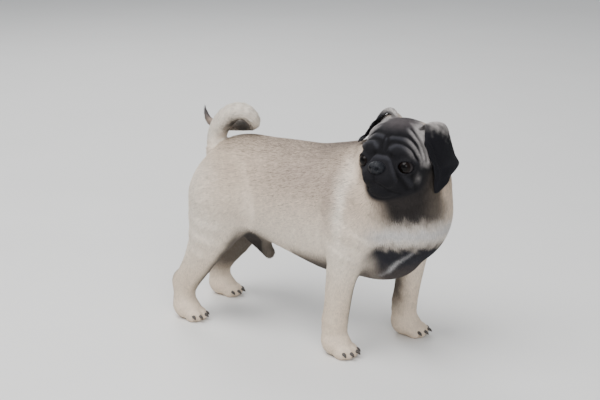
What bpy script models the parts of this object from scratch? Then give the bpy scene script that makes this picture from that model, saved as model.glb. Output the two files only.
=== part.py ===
"""A young pug that stands square and looks back over its right shoulder, life size.

The body is one field: a function that is negative inside the flesh. Balls and bones blend into it,
and furrows press into it. A net laid on the field gives the surfaces, which thin cuts part into
head, neck, torso and legs. The dog faces +X, its left is +Y, and its soles are at Z = 0.
"""

import math

import bmesh
import bpy
import numpy as np
from mathutils import Matrix, Vector

MM = 0.001
GAP = 0.3 * MM
SIDES = ("right", "left")

# Moves the middle of the standing dog's box to the origin.
ORIGIN = np.array([0.0099, -0.0022, 0.0])

# Height of the back over the soles, which the body's other sizes go with.
BACK = 0.252
BRISKET = 0.088
ELBOW = 0.142
HOCK = 0.052
CHEST_FRONT = 0.198
RUMP_BACK = -0.148
CHEST_HALF = 0.058
FORE_X = {"right": 0.080, "left": 0.119}
HIND_X = {"right": -0.157, "left": -0.173}
FOOT_Y = 0.054

# The head's own axes: +X to the nose, +Y to the dog's left, +Z to the crown.
HEAD_AT = np.array([0.1523, -0.0239, 0.2536])
HEAD_TURN = -92.0
HEAD_NOD = -4.0
HEAD_TILT = 0.0
EYE_AT = np.array([31.0, 26.5, 0.0]) * MM
EYE_RADIUS = 9.6 * MM
EYE_YAW = 24.0
EYE_GRID = (20, 12)
EYE_OPENING = np.array([8.4, 6.7]) * MM
LID_THICKNESS = 1.9 * MM
NOSE_AT = np.array([53.0, 0.0, -2.5]) * MM

# Paws. Their round soles reach below the floor, which cuts them flat.
TOE_ANGLES = (-27.0, -9.5, 9.5, 27.0)
FORE_TOE_OUT = 8.0
HIND_TOE_OUT = 6.0
HIND_PAW_SIZE = 0.94
# A toe turns out by this share of the angle of its place on the paw.
TOE_TURN = 0.6
SOLE_SINK = 1.5 * MM

BODY_CELL = 3.0 * MM
HEAD_CELL = 1.3 * MM
NOSE_CELL = 0.8 * MM
BODY_TRIANGLES = 4500
HEAD_TRIANGLES = 3700
NOSE_TRIANGLES = 320
BODY_LOW = np.array([-0.200, -0.110, -0.004])
BODY_HIGH = np.array([0.225, 0.090, 0.320])
HEAD_BOX = np.array([0.080, 0.080, 0.080])
NOSE_BOX = np.array([0.014, 0.016, 0.014])


def point(x, y, z):
    return np.array([x, y, z])


def mirrored(p, side):
    """Points as the left side sees them, so one description serves both sides."""
    flip = np.array([1.0, 1.0 if side == "left" else -1.0, 1.0])
    return p * flip


def head_axes():
    turn = Matrix.Rotation(math.radians(HEAD_TURN), 3, "Z")
    nod = Matrix.Rotation(math.radians(HEAD_NOD), 3, "Y")
    tilt = Matrix.Rotation(math.radians(HEAD_TILT), 3, "X")
    return np.array(turn @ nod @ tilt)


HEAD_AXES = head_axes()


def into_head(p):
    return (p - HEAD_AT) @ HEAD_AXES


def out_of_head(q):
    return q @ HEAD_AXES.T + HEAD_AT


# Fields. Each is the distance to a shape's surface, negative inside it.


def blend(a, b, soft):
    """Union of two fields with a fillet about as wide as soft."""
    h = np.clip(0.5 + 0.5 * (b - a) / soft, 0.0, 1.0)
    return b + (a - b) * h - soft * h * (1.0 - h)


def carve(a, b, soft):
    """Field a with b taken away."""
    return -blend(-a, b, soft)


def ball(p, centre, radii, turn=None):
    """Ellipsoid of the given radii. The columns of turn are its own axes."""
    q = p - np.asarray(centre)
    if turn is not None:
        q = q @ turn
    r = np.asarray(radii)
    near = np.linalg.norm(q / r, axis=-1)
    steep = np.linalg.norm(q / r**2, axis=-1)
    return near * (near - 1.0) / np.maximum(steep, 1e-9)


def bone(p, start, end, r_start, r_end, flat=1.0):
    """Tapered rod with round ends, made flat times thinner sideways."""
    thin = np.array([1.0, flat, 1.0])
    along = (end - start) * thin
    q = (p - start) * thin
    t = np.clip(q @ along / (along @ along), 0.0, 1.0)
    return np.linalg.norm(q - t[..., None] * along, axis=-1) - (r_start + (r_end - r_start) * t)


def chain(p, joints, radii, soft, flat=1.0):
    """Rods from joint to joint."""
    d = bone(p, joints[0], joints[1], radii[0], radii[1], flat)
    for i in range(1, len(joints) - 1):
        d = blend(d, bone(p, joints[i], joints[i + 1], radii[i], radii[i + 1], flat), soft)
    return d


def smooth_path(joints, count):
    """Rows of numbers along one smooth curve through the joints' rows."""
    knots = np.asarray(joints, float)
    ends = 2 * knots[[0, -1]] - knots[[1, -2]]
    k = np.vstack([ends[:1], knots, ends[1:]])
    at = np.linspace(0, len(knots) - 1 - 1e-9, count)
    i = at.astype(int)
    t = (at - i)[:, None]
    a, b, c, d = k[i], k[i + 1], k[i + 2], k[i + 3]
    return 0.5 * (2 * b + (c - a) * t + (2 * a - 5 * b + 4 * c - d) * t**2 + (3 * b - a - 3 * c + d) * t**3)


def limb(p, joints, count=10):
    """A smooth rod through joints of (x, y, z, radius)."""
    path = smooth_path(joints, count)
    return chain(p, path[:, :3], path[:, 3], 0.4 * MM)


def tilted(degrees, axis="Y"):
    return np.array(Matrix.Rotation(math.radians(degrees), 3, axis))


def trunk_field(p):
    """Ribs, loin, rump and breast."""
    mid = (BACK + BRISKET) / 2
    deep = (BACK - BRISKET) / 2
    d = ball(p, (0.060, 0, mid), (0.105, CHEST_HALF, deep))
    d = blend(d, ball(p, (-0.030, 0, BACK - 0.071), (0.100, 0.050, 0.070)), 0.030)
    d = blend(d, ball(p, (RUMP_BACK + 0.056, 0, 0.192), (0.056, 0.050, 0.054)), 0.026)
    d = blend(d, ball(p, (CHEST_FRONT - 0.061, 0.002, 0.173), (0.061, 0.054, 0.062)), 0.026)
    d = blend(d, ball(p, (CHEST_FRONT - 0.078, 0, BRISKET + 0.030), (0.040, 0.040, 0.025)), 0.020)
    sheath = bone(p, point(-0.086, 0, 0.122), point(-0.054, 0, 0.094), 0.013, 0.0085)
    return blend(d, sheath, 0.020)


def neck_field(p):
    """Neck and throat, with the roll of skin that the turned head draws down the near shoulder."""
    d = bone(p, point(0.088, 0, 0.200), point(0.142, -0.008, 0.236), 0.053, 0.050)
    throat = bone(p, point(0.149, 0.008, 0.192), point(0.155, 0.003, 0.222), 0.046, 0.046)
    d = blend(d, throat, 0.020)
    roll = (
        point(0.083, -0.028, 0.242),
        point(0.089, -0.048, 0.223),
        point(0.090, -0.054, 0.197),
        point(0.087, -0.055, 0.168),
    )
    return blend(d, chain(p, roll, (0.010, 0.0125, 0.0125, 0.009), 0.01), 0.012)


def fore_foot(side):
    return point(FORE_X[side] + 0.001, FOOT_Y, -SOLE_SINK)


def hind_foot(side):
    return point(HIND_X[side] + 0.004, FOOT_Y - 0.003, -SOLE_SINK)


def toe_middle(degrees):
    """Middle of a toe ahead of the point under the ankle. The two inner toes reach further."""
    a = math.radians(degrees)
    reach = 0.0225 if abs(degrees) < 15 else 0.0185
    return point(reach * math.cos(a), reach * math.sin(a) * 1.25, 0.0085)


def paw_field(p, foot, toe_out, size):
    """A paw with four toes. foot is the point under the ankle, and p is on the left side."""
    q = (p - foot) @ tilted(toe_out, "Z") / size
    d = ball(q, (0.004, 0, 0.0145), (0.020, 0.0165, 0.0145))
    for degrees in TOE_ANGLES:
        toe = ball(q, toe_middle(degrees), (0.0105, 0.0062, 0.0092), tilted(degrees * TOE_TURN, "Z"))
        d = blend(d, toe, 0.0035)
    return d * size


def elbow_x(side):
    """The elbow stands between the ribs and the foot."""
    return 0.036 + 0.80 * FORE_X[side]


def fore_leg_field(p, side):
    q = mirrored(p, side)
    x = FORE_X[side]
    joints = (
        (0.122, 0.034, 0.188, 0.043),
        (elbow_x(side), 0.052, ELBOW, 0.0265),
        (x + 0.009, FOOT_Y, 0.098, 0.0195),
        (x + 0.004, FOOT_Y, 0.062, 0.0172),
        (x + 0.001, FOOT_Y, 0.044, 0.0176),
        (x, FOOT_Y, 0.024, 0.0158),
    )
    d = limb(q, joints)
    elbow = ball(q, (elbow_x(side) - 0.020, 0.054, ELBOW - 0.002), (0.011, 0.010, 0.014))
    d = blend(d, elbow, 0.014)
    return blend(d, paw_field(q, fore_foot(side), FORE_TOE_OUT, 1.0), 0.010)


def hind_leg_field(p, side):
    q = mirrored(p, side)
    x = HIND_X[side]
    thigh = ball(q, (-0.102, 0.036, 0.172), (0.047, 0.029, 0.060), tilted(8))
    joints = (
        (-0.100, 0.040, 0.165, 0.041),
        (-0.042 + 0.44 * x, 0.047, 0.126, 0.0315),
        (-0.030 + 0.62 * x, 0.050, 0.090, 0.0225),
        (x + 0.006, 0.051, HOCK, 0.0172),
        (x + 0.001, 0.051, 0.036, 0.0152),
        (x, 0.051, 0.020, 0.0150),
    )
    d = limb(q, joints)
    d = blend(d, thigh, 0.022)
    point_of_hock = ball(q, (x - 0.006, 0.051, HOCK - 0.001), (0.010, 0.010, 0.013))
    d = blend(d, point_of_hock, 0.010)
    return blend(d, paw_field(q, hind_foot(side), HIND_TOE_OUT, HIND_PAW_SIZE), 0.010)


# The tail climbs from the croup, curls over to the front and comes back beside the far hip, where
# its tip stands up. Each joint is a point and the radius there.
TAIL_JOINTS = (
    (-0.1340, 0.000, 0.2190, 0.0170),
    (-0.1362, 0.000, 0.2348, 0.0140),
    (-0.1304, -0.003, 0.2509, 0.0138),
    (-0.1175, -0.007, 0.2667, 0.0138),
    (-0.1008, -0.010, 0.2785, 0.0128),
    (-0.0864, -0.008, 0.2800, 0.0119),
    (-0.0795, -0.001, 0.2720, 0.0106),
    (-0.0855, 0.010, 0.2620, 0.0096),
    (-0.1040, 0.021, 0.2555, 0.0088),
    (-0.1280, 0.029, 0.2500, 0.0080),
    (-0.1530, 0.033, 0.2460, 0.0070),
    (-0.1700, 0.034, 0.2485, 0.0052),
    (-0.1765, 0.033, 0.2570, 0.0036),
    (-0.1785, 0.031, 0.2695, 0.0013),
)


# The folds of the head. Each has a path of (bearing, height) in degrees as seen from the head's
# middle, a width in mm and how far it stands out (or, if negative, is pressed in) in mm. Bearing
# runs from the nose to the ear, height from the eye line to the crown; both sides are alike.
FOLDS = {
    "nose_roll": (((0, 11), (9, 11), (17, 7), (22, -4), (26, -16)), 3.0, 2.0),
    "nose_roll_furrow": (((0, 17), (9, 17), (15, 15)), 2.0, -1.5),
    "inner_eye_furrow": (((15, 15), (21, 3), (28, -12), (37, -25), (45, -34)), 2.2, -1.9),
    "cheek_ridge": (((29, -4), (39, -15), (49, -26)), 3.2, 1.5),
    "cheek_furrow": (((47, -8), (55, -20), (60, -34)), 2.4, -1.3),
    "frown_furrow": (((4, 24), (6, 33), (3, 45)), 1.9, -1.7),
    "lower_brow_ridge": (((13, 26), (24, 31), (38, 26), (50, 15), (60, 5)), 2.6, 1.5),
    "lower_brow_furrow": (((7, 33), (14, 37), (30, 36), (45, 28), (56, 15), (64, 4)), 1.9, -1.8),
    "brow_ridge": (((0, 40), (13, 43), (40, 41), (53, 30), (61, 19), (67, 8)), 2.7, 1.5),
    "brow_furrow": (((0, 48), (14, 50), (42, 48), (56, 37), (66, 21), (71, 8)), 1.9, -1.8),
    "crown_ridge": (((50, 60), (58, 43), (66, 27), (73, 12)), 2.6, 1.3),
    "crown_furrow": (((58, 58), (66, 42), (73, 25), (79, 8)), 1.9, -1.5),
    "temple_ridge": (((66, 56), (74, 40), (81, 22), (85, 4)), 2.8, 1.2),
    "lip_cleft": (((0, -8), (0, -18)), 1.2, -1.4),
    "mouth": (((0, -19), (7, -20), (12, -24), (18, -31), (26, -37), (34, -41)), 1.3, -3.0),
}
FOLD_REACH = 13.0 * MM

# The raised base of each ear, in head mm with Y outwards.
EAR_BASES = {
    "left": (point(-8, 35, 32), point(15, 9.5, 13)),
    "right": (point(-21, 26, 39), point(17, 13, 13)),
}


def smooth_head(s):
    """The head without its folds and lids, at head points whose Y is not negative."""
    d = ball(s, point(-5, 0, 10) * MM, point(45, 41.5, 40) * MM)
    d = blend(d, ball(s, point(-10, 21, 22) * MM, point(29, 21, 21) * MM), 10 * MM)
    d = blend(d, ball(s, point(8, 0, -6) * MM, point(35, 38, 31) * MM), 12 * MM)
    d = blend(d, ball(s, point(8, 22, -16) * MM, point(27, 18, 21) * MM), 10 * MM)
    d = blend(d, ball(s, point(-6, 0, -24) * MM, point(38, 29, 22) * MM), 12 * MM)
    d = blend(d, ball(s, point(38, 0, -12) * MM, point(20, 22, 16) * MM), 9 * MM)
    d = blend(d, ball(s, point(46, 9.5, -16) * MM, point(12, 12, 11.5) * MM), 5 * MM)
    d = blend(d, ball(s, point(40, 0, -28) * MM, point(13.5, 14, 11) * MM), 4 * MM)
    d = blend(d, ball(s, point(22, 0, -28) * MM, point(26, 24, 14) * MM), 8 * MM)
    return blend(d, ball(s, point(30, 19, 16) * MM, point(9, 14, 8) * MM), 9 * MM)


def on_head(bearing, height):
    """The point of the smooth head seen from its middle in a direction given in degrees."""
    b, h = math.radians(bearing), math.radians(height)
    way = point(math.cos(b) * math.cos(h), math.sin(b) * math.cos(h), math.sin(h))
    near, far = 20 * MM, 90 * MM
    for _ in range(24):
        middle = (near + far) / 2
        if smooth_head(way * middle) < 0:
            near = middle
        else:
            far = middle
    return way * near


FOLD_LINES = {
    name: ([on_head(*at) for at in path], width * MM, stands * MM)
    for name, (path, width, stands) in FOLDS.items()
}


def fold_shift(s):
    """How far the folds move the skin outwards at head points whose Y is not negative."""
    shift = np.zeros(s.shape[:-1])
    for line, width, stands in FOLD_LINES.values():
        off = np.full(shift.shape, 1.0)
        for start, end in zip(line[:-1], line[1:]):
            off = np.minimum(off, bone(s, start, end, 0.0, 0.0))
        shift += stands * np.exp(-((off / width) ** 2))
    return shift


def eye_axes():
    """Columns: out of the eye, along the lids, and up, for the left eye."""
    return tilted(EYE_YAW, "Z")


def lids(s, d):
    """Lids over the eyeball, open in front in an oval, on field d."""
    d = blend(d, ball(s, EYE_AT, np.full(3, EYE_RADIUS + LID_THICKNESS)), 5 * MM)
    r = (s - EYE_AT) @ eye_axes()
    oval = np.hypot(r[..., 1] / EYE_OPENING[0], (r[..., 2] + 0.4 * MM) / EYE_OPENING[1]) - 1.0
    opening = np.maximum(oval * EYE_OPENING[1], 3 * MM - r[..., 0])
    return carve(d, opening, 1.4 * MM)


def head_field(p):
    """Skull, cheeks, muzzle, chin, folds, lids and the base of each ear."""
    q = into_head(p)
    s = np.array(q)
    s[..., 1] = np.abs(s[..., 1])
    d = smooth_head(s)
    near = np.abs(d) < FOLD_REACH
    close = s[near]
    d[near] = lids(close, d[near] - fold_shift(close))
    for side, (middle, radii) in EAR_BASES.items():
        base = ball(mirrored(q, side), middle * MM, radii * MM, tilted(-20, "X"))
        d = blend(d, base, 6 * MM)
    return d


def body_field(p):
    d = blend(trunk_field(p), neck_field(p), 0.036)
    d = blend(d, head_field(p), 0.010)
    for side in SIDES:
        d = blend(d, fore_leg_field(p, side), 0.014)
        d = blend(d, hind_leg_field(p, side), 0.014)
    return d


# The net: quads through every cell of a grid where the field changes sign.


def grid_values(field, low, cell, counts, block=4):
    """The field on a grid. Blocks far from the surface take the value at their middle."""
    blocks = [-(-c // block) for c in counts]
    middles = [low[i] + cell * (np.arange(blocks[i]) * block + (block - 1) / 2) for i in range(3)]
    rough = field(np.stack(np.meshgrid(*middles, indexing="ij"), -1))
    values = rough
    for axis in range(3):
        values = np.repeat(values, block, axis=axis)
    values = values[: counts[0], : counts[1], : counts[2]].copy()
    near = np.nonzero(np.abs(values) < cell * block * 1.6)
    points = np.stack([low[i] + cell * near[i] for i in range(3)], -1)
    values[near] = field(points)
    return values


def net_points(values, low, cell):
    """One point in each cell that the surface crosses: the mean of its edges' crossings."""
    corners = {}
    for key in np.ndindex(2, 2, 2):
        part = tuple(slice(k, k - 1 or None) for k in key)
        corners[key] = values[part]
    total = np.zeros(corners[0, 0, 0].shape + (3,))
    hits = np.zeros(corners[0, 0, 0].shape)
    for axis in range(3):
        for key in np.ndindex(2, 2, 2):
            if key[axis]:
                continue
            other = tuple(k + (i == axis) for i, k in enumerate(key))
            a, b = corners[key], corners[other]
            cross = (a < 0) != (b < 0)
            t = np.where(cross, a / np.where(cross, a - b, 1.0), 0.0)
            for i in range(3):
                total[..., i] += cross * (t if i == axis else key[i])
            hits += cross
    cells = np.nonzero(hits)
    inner = total[cells] / hits[cells][:, None]
    points = np.asarray(low) + cell * (np.stack(cells, -1) + inner)
    index = np.full(hits.shape, -1)
    index[cells] = np.arange(len(points))
    return points, index


def net_quads(values, index):
    """A quad round each grid edge whose ends lie on opposite sides of the surface."""
    quads = []
    for axis in range(3):
        u, v = (axis + 1) % 3, (axis + 2) % 3
        lower = [slice(None)] * 3
        upper = [slice(None)] * 3
        lower[axis], upper[axis] = slice(None, -1), slice(1, None)
        a, b = values[tuple(lower)] < 0, values[tuple(upper)] < 0
        at = np.stack(np.nonzero(a != b), -1)
        at = at[(at[:, u] > 0) & (at[:, v] > 0)]
        at = at[(at[:, u] < index.shape[u]) & (at[:, v] < index.shape[v])]
        step_u, step_v = np.eye(3, dtype=int)[u], np.eye(3, dtype=int)[v]
        ring = [at - step_u - step_v, at - step_v, at, at - step_u]
        quad = np.stack([index[tuple(r.T)] for r in ring], -1)
        outward = a[tuple(at.T)]
        quad[~outward] = quad[~outward][:, ::-1]
        quads.append(quad)
    return np.concatenate(quads)


def settle(points, field, steps=2, probe=0.0004):
    """Moves points onto the field's surface along its slope."""
    for _ in range(steps):
        value = field(points)
        slope = np.stack(
            [(field(points + probe * e) - field(points - probe * e)) / (2 * probe) for e in np.eye(3)], -1
        )
        square = np.maximum((slope**2).sum(-1), 0.25)
        points = points - slope * np.clip(value / square, -0.0015, 0.0015)[:, None]
    return points


def net(name, field, low, high, cell):
    """A closed mesh object on the field's surface inside the box from low to high."""
    low, high = np.asarray(low, float), np.asarray(high, float)
    counts = np.ceil((high - low) / cell).astype(int) + 1
    values = grid_values(field, low, cell, counts)
    for axis in range(3):
        edge = [slice(None)] * 3
        for end in (0, -1):
            edge[axis] = end
            values[tuple(edge)] = np.maximum(values[tuple(edge)], cell / 2)
    points, index = net_points(values, low, cell)
    quads = net_quads(values, index)
    inner = ((points > low + 2 * cell) & (points < high - 2 * cell)).all(-1)
    points[inner] = settle(points[inner], field)
    return parted(mesh_object(name, points, quads))


def parted(obj):
    """Where two sheets of a net share an edge, both are opened round it and filled again."""
    shell = bmesh.new()
    shell.from_mesh(obj.data)
    shared = {v for e in shell.edges if len(e.link_faces) > 2 for v in e.verts}
    bmesh.ops.delete(shell, geom=list(shared), context="VERTS")
    rims = [e for e in shell.edges if e.is_boundary]
    bmesh.ops.holes_fill(shell, edges=rims, sides=0)
    bmesh.ops.recalc_face_normals(shell, faces=shell.faces[:])
    shell.to_mesh(obj.data)
    shell.free()
    return obj


# Objects.


def mesh_object(name, points, faces):
    mesh = bpy.data.meshes.new(name)
    mesh.from_pydata([tuple(map(float, p)) for p in points], [], [tuple(map(int, f)) for f in faces])
    mesh.update()
    obj = bpy.data.objects.new(name, mesh)
    bpy.context.scene.collection.objects.link(obj)
    return obj


def apply_modifiers(obj):
    graph = bpy.context.evaluated_depsgraph_get()
    made = bpy.data.meshes.new_from_object(obj.evaluated_get(graph))
    obj.modifiers.clear()
    old, obj.data = obj.data, made
    bpy.data.meshes.remove(old)
    return obj


def thin_out(obj, triangles):
    """Fewer triangles, with the small ones kept where the surface bends most."""
    now = sum(len(f.vertices) - 2 for f in obj.data.polygons)
    decimate = obj.modifiers.new("Fewer faces", "DECIMATE")
    decimate.ratio = min(1.0, triangles / now)
    decimate.use_collapse_triangulate = True
    return apply_modifiers(obj)


def boolean(obj, cutter, operation, solver="EXACT"):
    cut = obj.modifiers.new(operation.title(), "BOOLEAN")
    cut.operation = operation
    cut.object = cutter
    cut.solver = solver
    bpy.context.view_layer.update()
    return apply_modifiers(obj)


def copy_of(obj, name):
    twin = obj.copy()
    twin.data = obj.data.copy()
    twin.name = name
    bpy.context.scene.collection.objects.link(twin)
    return twin


def grown(obj, by):
    """A copy whose surface stands proud of obj's by a small distance."""
    twin = copy_of(obj, obj.name + "_grown")
    shell = bmesh.new()
    shell.from_mesh(twin.data)
    shell.normal_update()
    for vert in shell.verts:
        vert.co += vert.normal * by
    shell.to_mesh(twin.data)
    shell.free()
    return twin


def remove(*objects):
    for obj in objects:
        bpy.data.objects.remove(obj)


def keep_largest(obj):
    """Drops every loose piece but the one with the most volume."""
    shell = bmesh.new()
    shell.from_mesh(obj.data)
    bmesh.ops.triangulate(shell, faces=shell.faces[:])
    left, pieces = set(shell.verts), []
    while left:
        stack, piece = [left.pop()], set()
        while stack:
            vert = stack.pop()
            piece.add(vert)
            for edge in vert.link_edges:
                other = edge.other_vert(vert)
                if other in left:
                    left.discard(other)
                    stack.append(other)
        pieces.append(piece)

    def volume(piece):
        faces = {f for v in piece for f in v.link_faces}
        return sum(f.verts[0].co.dot(f.verts[1].co.cross(f.verts[2].co)) for f in faces) / 6

    largest = max(pieces, key=volume)
    bmesh.ops.delete(shell, geom=[v for v in shell.verts if v not in largest], context="VERTS")
    shell.to_mesh(obj.data)
    shell.free()
    return obj


def box(name, low, high):
    low, high = Vector(low), Vector(high)
    shell = bmesh.new()
    bmesh.ops.create_cube(shell, size=1.0)
    for vert in shell.verts:
        for i in range(3):
            vert.co[i] = (low[i] + high[i]) / 2 + vert.co[i] * (high[i] - low[i])
    mesh = bpy.data.meshes.new(name)
    shell.to_mesh(mesh)
    shell.free()
    obj = bpy.data.objects.new(name, mesh)
    bpy.context.scene.collection.objects.link(obj)
    return obj


def sphere(name, centre, radius, segments, rings):
    shell = bmesh.new()
    bmesh.ops.create_uvsphere(shell, u_segments=segments, v_segments=rings, radius=radius)
    bmesh.ops.translate(shell, verts=shell.verts[:], vec=Vector(centre))
    mesh = bpy.data.meshes.new(name)
    shell.to_mesh(mesh)
    shell.free()
    obj = bpy.data.objects.new(name, mesh)
    bpy.context.scene.collection.objects.link(obj)
    return obj


# Thin parts swept or spread along a path.


def frames(middles):
    """For points along a path: the way ahead and two directions across it, with little twist."""
    ahead = np.gradient(middles, axis=0)
    ahead /= np.linalg.norm(ahead, axis=1, keepdims=True)
    first = np.cross(ahead[0], (0.0, 1.0, 0.0))
    side = [first / np.linalg.norm(first)]
    for way in ahead[1:]:
        flat = side[-1] - way * (side[-1] @ way)
        side.append(flat / np.linalg.norm(flat))
    side = np.array(side)
    return ahead, side, np.cross(ahead, side)


def tube(name, joints, count, sides):
    """A round rod through joints of (x, y, z, radius), closed at both ends."""
    path = smooth_path(joints, count)
    middles, radii = path[:, :3], path[:, 3]
    _, side, up = frames(middles)
    turn = np.linspace(0, 2 * math.pi, sides, endpoint=False)
    spread = np.cos(turn)[None, :, None] * side[:, None] + np.sin(turn)[None, :, None] * up[:, None]
    points = (middles[:, None] + radii[:, None, None] * spread).reshape(-1, 3)
    ring = np.arange(sides)
    after = (ring + 1) % sides
    faces = []
    for row in range(count - 1):
        low, high = row * sides, (row + 1) * sides
        faces += np.stack([low + ring, low + after, high + after, high + ring], -1).tolist()
    faces += [ring[::-1].tolist(), ((count - 1) * sides + ring).tolist()]
    return mesh_object(name, points, faces)


# The rows of each ear run from its root over the fold to its tip: the middle's X, Y and Z in head
# mm, with Y outwards, half the width there, and how far the middle bulges. The right ear is
# carried a little higher and further back than the left.
EAR_ROWS = {
    "left": (
        (-8, 25, 31, 12, 0.5),
        (-7, 34, 42, 14, 1.5),
        (-6, 40, 46, 15, 3.0),
        (-5, 44, 41, 17, 5.0),
        (-7, 45, 28, 20, 8.0),
        (-15, 45, 10, 22.5, 9.0),
        (-22, 45, -4, 25.5, 7.0),
        (-15, 45, -19, 15, 5.0),
        (-6, 44, -34, 2.0, 0.0),
    ),
    "right": (
        (-20, 18, 37, 12, 0.5),
        (-23, 24, 48, 14, 1.5),
        (-23, 31, 52, 16, 2.5),
        (-21, 37, 48, 18, 4.0),
        (-17, 41, 37, 19, 5.0),
        (-14, 43, 24, 19, 5.0),
        (-12, 44, 12, 15, 4.0),
        (-10, 46, 2, 9, 2.0),
        (-8, 48, -6, 2.0, 0.0),
    ),
}
EAR_ACROSS = np.array([-0.92, 0.39, 0.0])
EAR_THICKNESS = 3.4 * MM
EAR_CLEARANCE = 1.6 * MM
EAR_FREE_FROM = 0.36


def ear_sheet(side, rows, columns):
    """Middle points of an ear and its outward normals, as (rows, columns) grids in world axes."""
    path = smooth_path(EAR_ROWS[side], rows) * MM
    middles, half, bulge = path[:, :3], path[:, 3:4], path[:, 4:5]
    across = EAR_ACROSS / np.linalg.norm(EAR_ACROSS)
    ahead = np.gradient(middles, axis=0)
    out = np.cross(ahead, across)
    out /= np.linalg.norm(out, axis=1, keepdims=True)
    u = np.linspace(-1, 1, columns)[None, :, None]
    sheet = middles[:, None] + u * half[:, None] * across + (1 - u**2) * (bulge * out)[:, None]
    out = np.repeat(out[:, None], columns, axis=1) + 0.35 * u * across
    out /= np.linalg.norm(out, axis=2, keepdims=True)
    flip = np.array([1.0, 1.0 if side == "left" else -1.0, 1.0])
    sheet, out = out_of_head(sheet * flip), (out * flip) @ HEAD_AXES.T
    return lifted_off(sheet, np.linspace(0, 1, rows)), out


def evened(grid):
    """Each row of a grid averaged with its neighbours, then each column."""
    for axis in (0, 1):
        ends = [np.take(grid, [0], axis), np.take(grid, [-1], axis)]
        wide = np.concatenate([ends[0], grid, ends[1]], axis)
        size = grid.shape[axis]
        before, after = np.take(wide, range(size), axis), np.take(wide, range(2, size + 2), axis)
        grid = (before + 2 * grid + after) / 4
    return grid


def lifted_off(sheet, along):
    """The hanging part of a sheet moved clear of the skin, with its bends kept soft."""
    clear = EAR_THICKNESS / 2 + EAR_CLEARANCE
    probe = 0.5 * MM
    for _ in range(14):
        value = body_field(sheet)
        slope = [(body_field(sheet + probe * e) - body_field(sheet - probe * e)) for e in np.eye(3)]
        slope = np.stack(slope, -1)
        slope /= np.maximum(np.linalg.norm(slope, axis=-1, keepdims=True), 1e-9)
        push = np.clip(clear - value, 0, 0.004) * (along[:, None] > EAR_FREE_FROM)
        sheet = sheet + 1.5 * evened(push[..., None] * slope)
    return sheet


def ear(side, rows=14, columns=7):
    sheet, out = ear_sheet(side, rows, columns)
    edge = np.abs(np.linspace(-1, 1, columns))[None, :, None]
    half = EAR_THICKNESS / 2 * (1 - 0.45 * edge**4)
    points = np.concatenate([(sheet + half * out).reshape(-1, 3), (sheet - half * out).reshape(-1, 3)])
    at = np.arange(rows * columns).reshape(rows, columns)
    back = at + rows * columns
    faces = []
    for grid, outward in ((at, True), (back, False)):
        quads = np.stack([grid[:-1, :-1], grid[1:, :-1], grid[1:, 1:], grid[:-1, 1:]], -1).reshape(-1, 4)
        faces += (quads if outward else quads[:, ::-1]).tolist()
    rim = np.concatenate([at[0], at[1:, -1], at[-1, -2::-1], at[-2:0:-1, 0]])
    faces += [[a, b, b + rows * columns, a + rows * columns] for a, b in zip(rim, np.roll(rim, -1))]
    return face_out(mesh_object(f"ear_{side}", points, faces))


def face_out(obj):
    shell = bmesh.new()
    shell.from_mesh(obj.data)
    bmesh.ops.recalc_face_normals(shell, faces=shell.faces[:])
    shell.to_mesh(obj.data)
    shell.free()
    return obj


def nose_field(p):
    """The pad with its two nostrils and the groove between them."""
    s = into_head(p)
    s[..., 1] = np.abs(s[..., 1])
    d = ball(s, NOSE_AT, point(8.6, 10.8, 7.8) * MM)
    d = carve(d, ball(s, NOSE_AT + point(8.0, 4.6, -0.4) * MM, point(3.4, 2.3, 2.5) * MM), 1.2 * MM)
    slit_ends = NOSE_AT + point(7.0, 6.2, -1.2) * MM, NOSE_AT + point(3.5, 10.5, -3.0) * MM
    slit = bone(s, *slit_ends, 1.1 * MM, 0.8 * MM)
    d = carve(d, slit, 1.0 * MM)
    groove = np.exp(-((s[..., 1] / (0.9 * MM)) ** 2)) * np.clip((s[..., 0] - NOSE_AT[0]) / (5 * MM), 0, 1)
    return d + 0.7 * MM * groove


# Along a claw: how far ahead of the toe's middle, how high, and how thick.
CLAW_JOINTS = (
    (7.0 * MM, 11.0 * MM, 2.1 * MM),
    (11.0 * MM, 9.8 * MM, 1.9 * MM),
    (14.3 * MM, 7.0 * MM, 0.4 * MM),
)


def claw(name, side, foot, toe_out, size, degrees):
    """A short curved nail that leaves the front of one toe and ends clear of the floor."""
    ahead = tilted(degrees * TOE_TURN, "Z") @ point(1, 0, 0)
    toe = toe_middle(degrees)
    joints = []
    for reach, height, radius in CLAW_JOINTS:
        at = toe + ahead * reach
        at[2] = height
        world = foot + tilted(toe_out, "Z") @ at * size
        joints.append((*mirrored(world, side), radius * size))
    return face_out(tube(name, joints, 3, 6))


# Cuts between the named parts.


def half_space(name, at, facing, half=0.30, push=0.0):
    """A big block whose near face passes through at + push, and which lies ahead of it."""
    facing = Vector(facing).normalized()
    block = box(name, (push, -half, -half), (push + 2 * half, half, half))
    turn = facing.to_track_quat("X", "Z").to_matrix().to_4x4()
    block.data.transform(Matrix.Translation(Vector(at)) @ turn)
    return block


# The head ends along a slope from the nape to the throat, the neck along one from the withers to a
# level cut over the breast.
HEAD_CUT_AT = (0.140, 0.0, 0.2346)
HEAD_CUT_FACING = (0.398, -0.303, 0.866)
NECK_CUT_AT = (0.105, 0.0, 0.212)
NECK_CUT_FACING = (0.66, 0.0, 0.75)
BREAST_CUT_HEIGHT = 0.164


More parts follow.
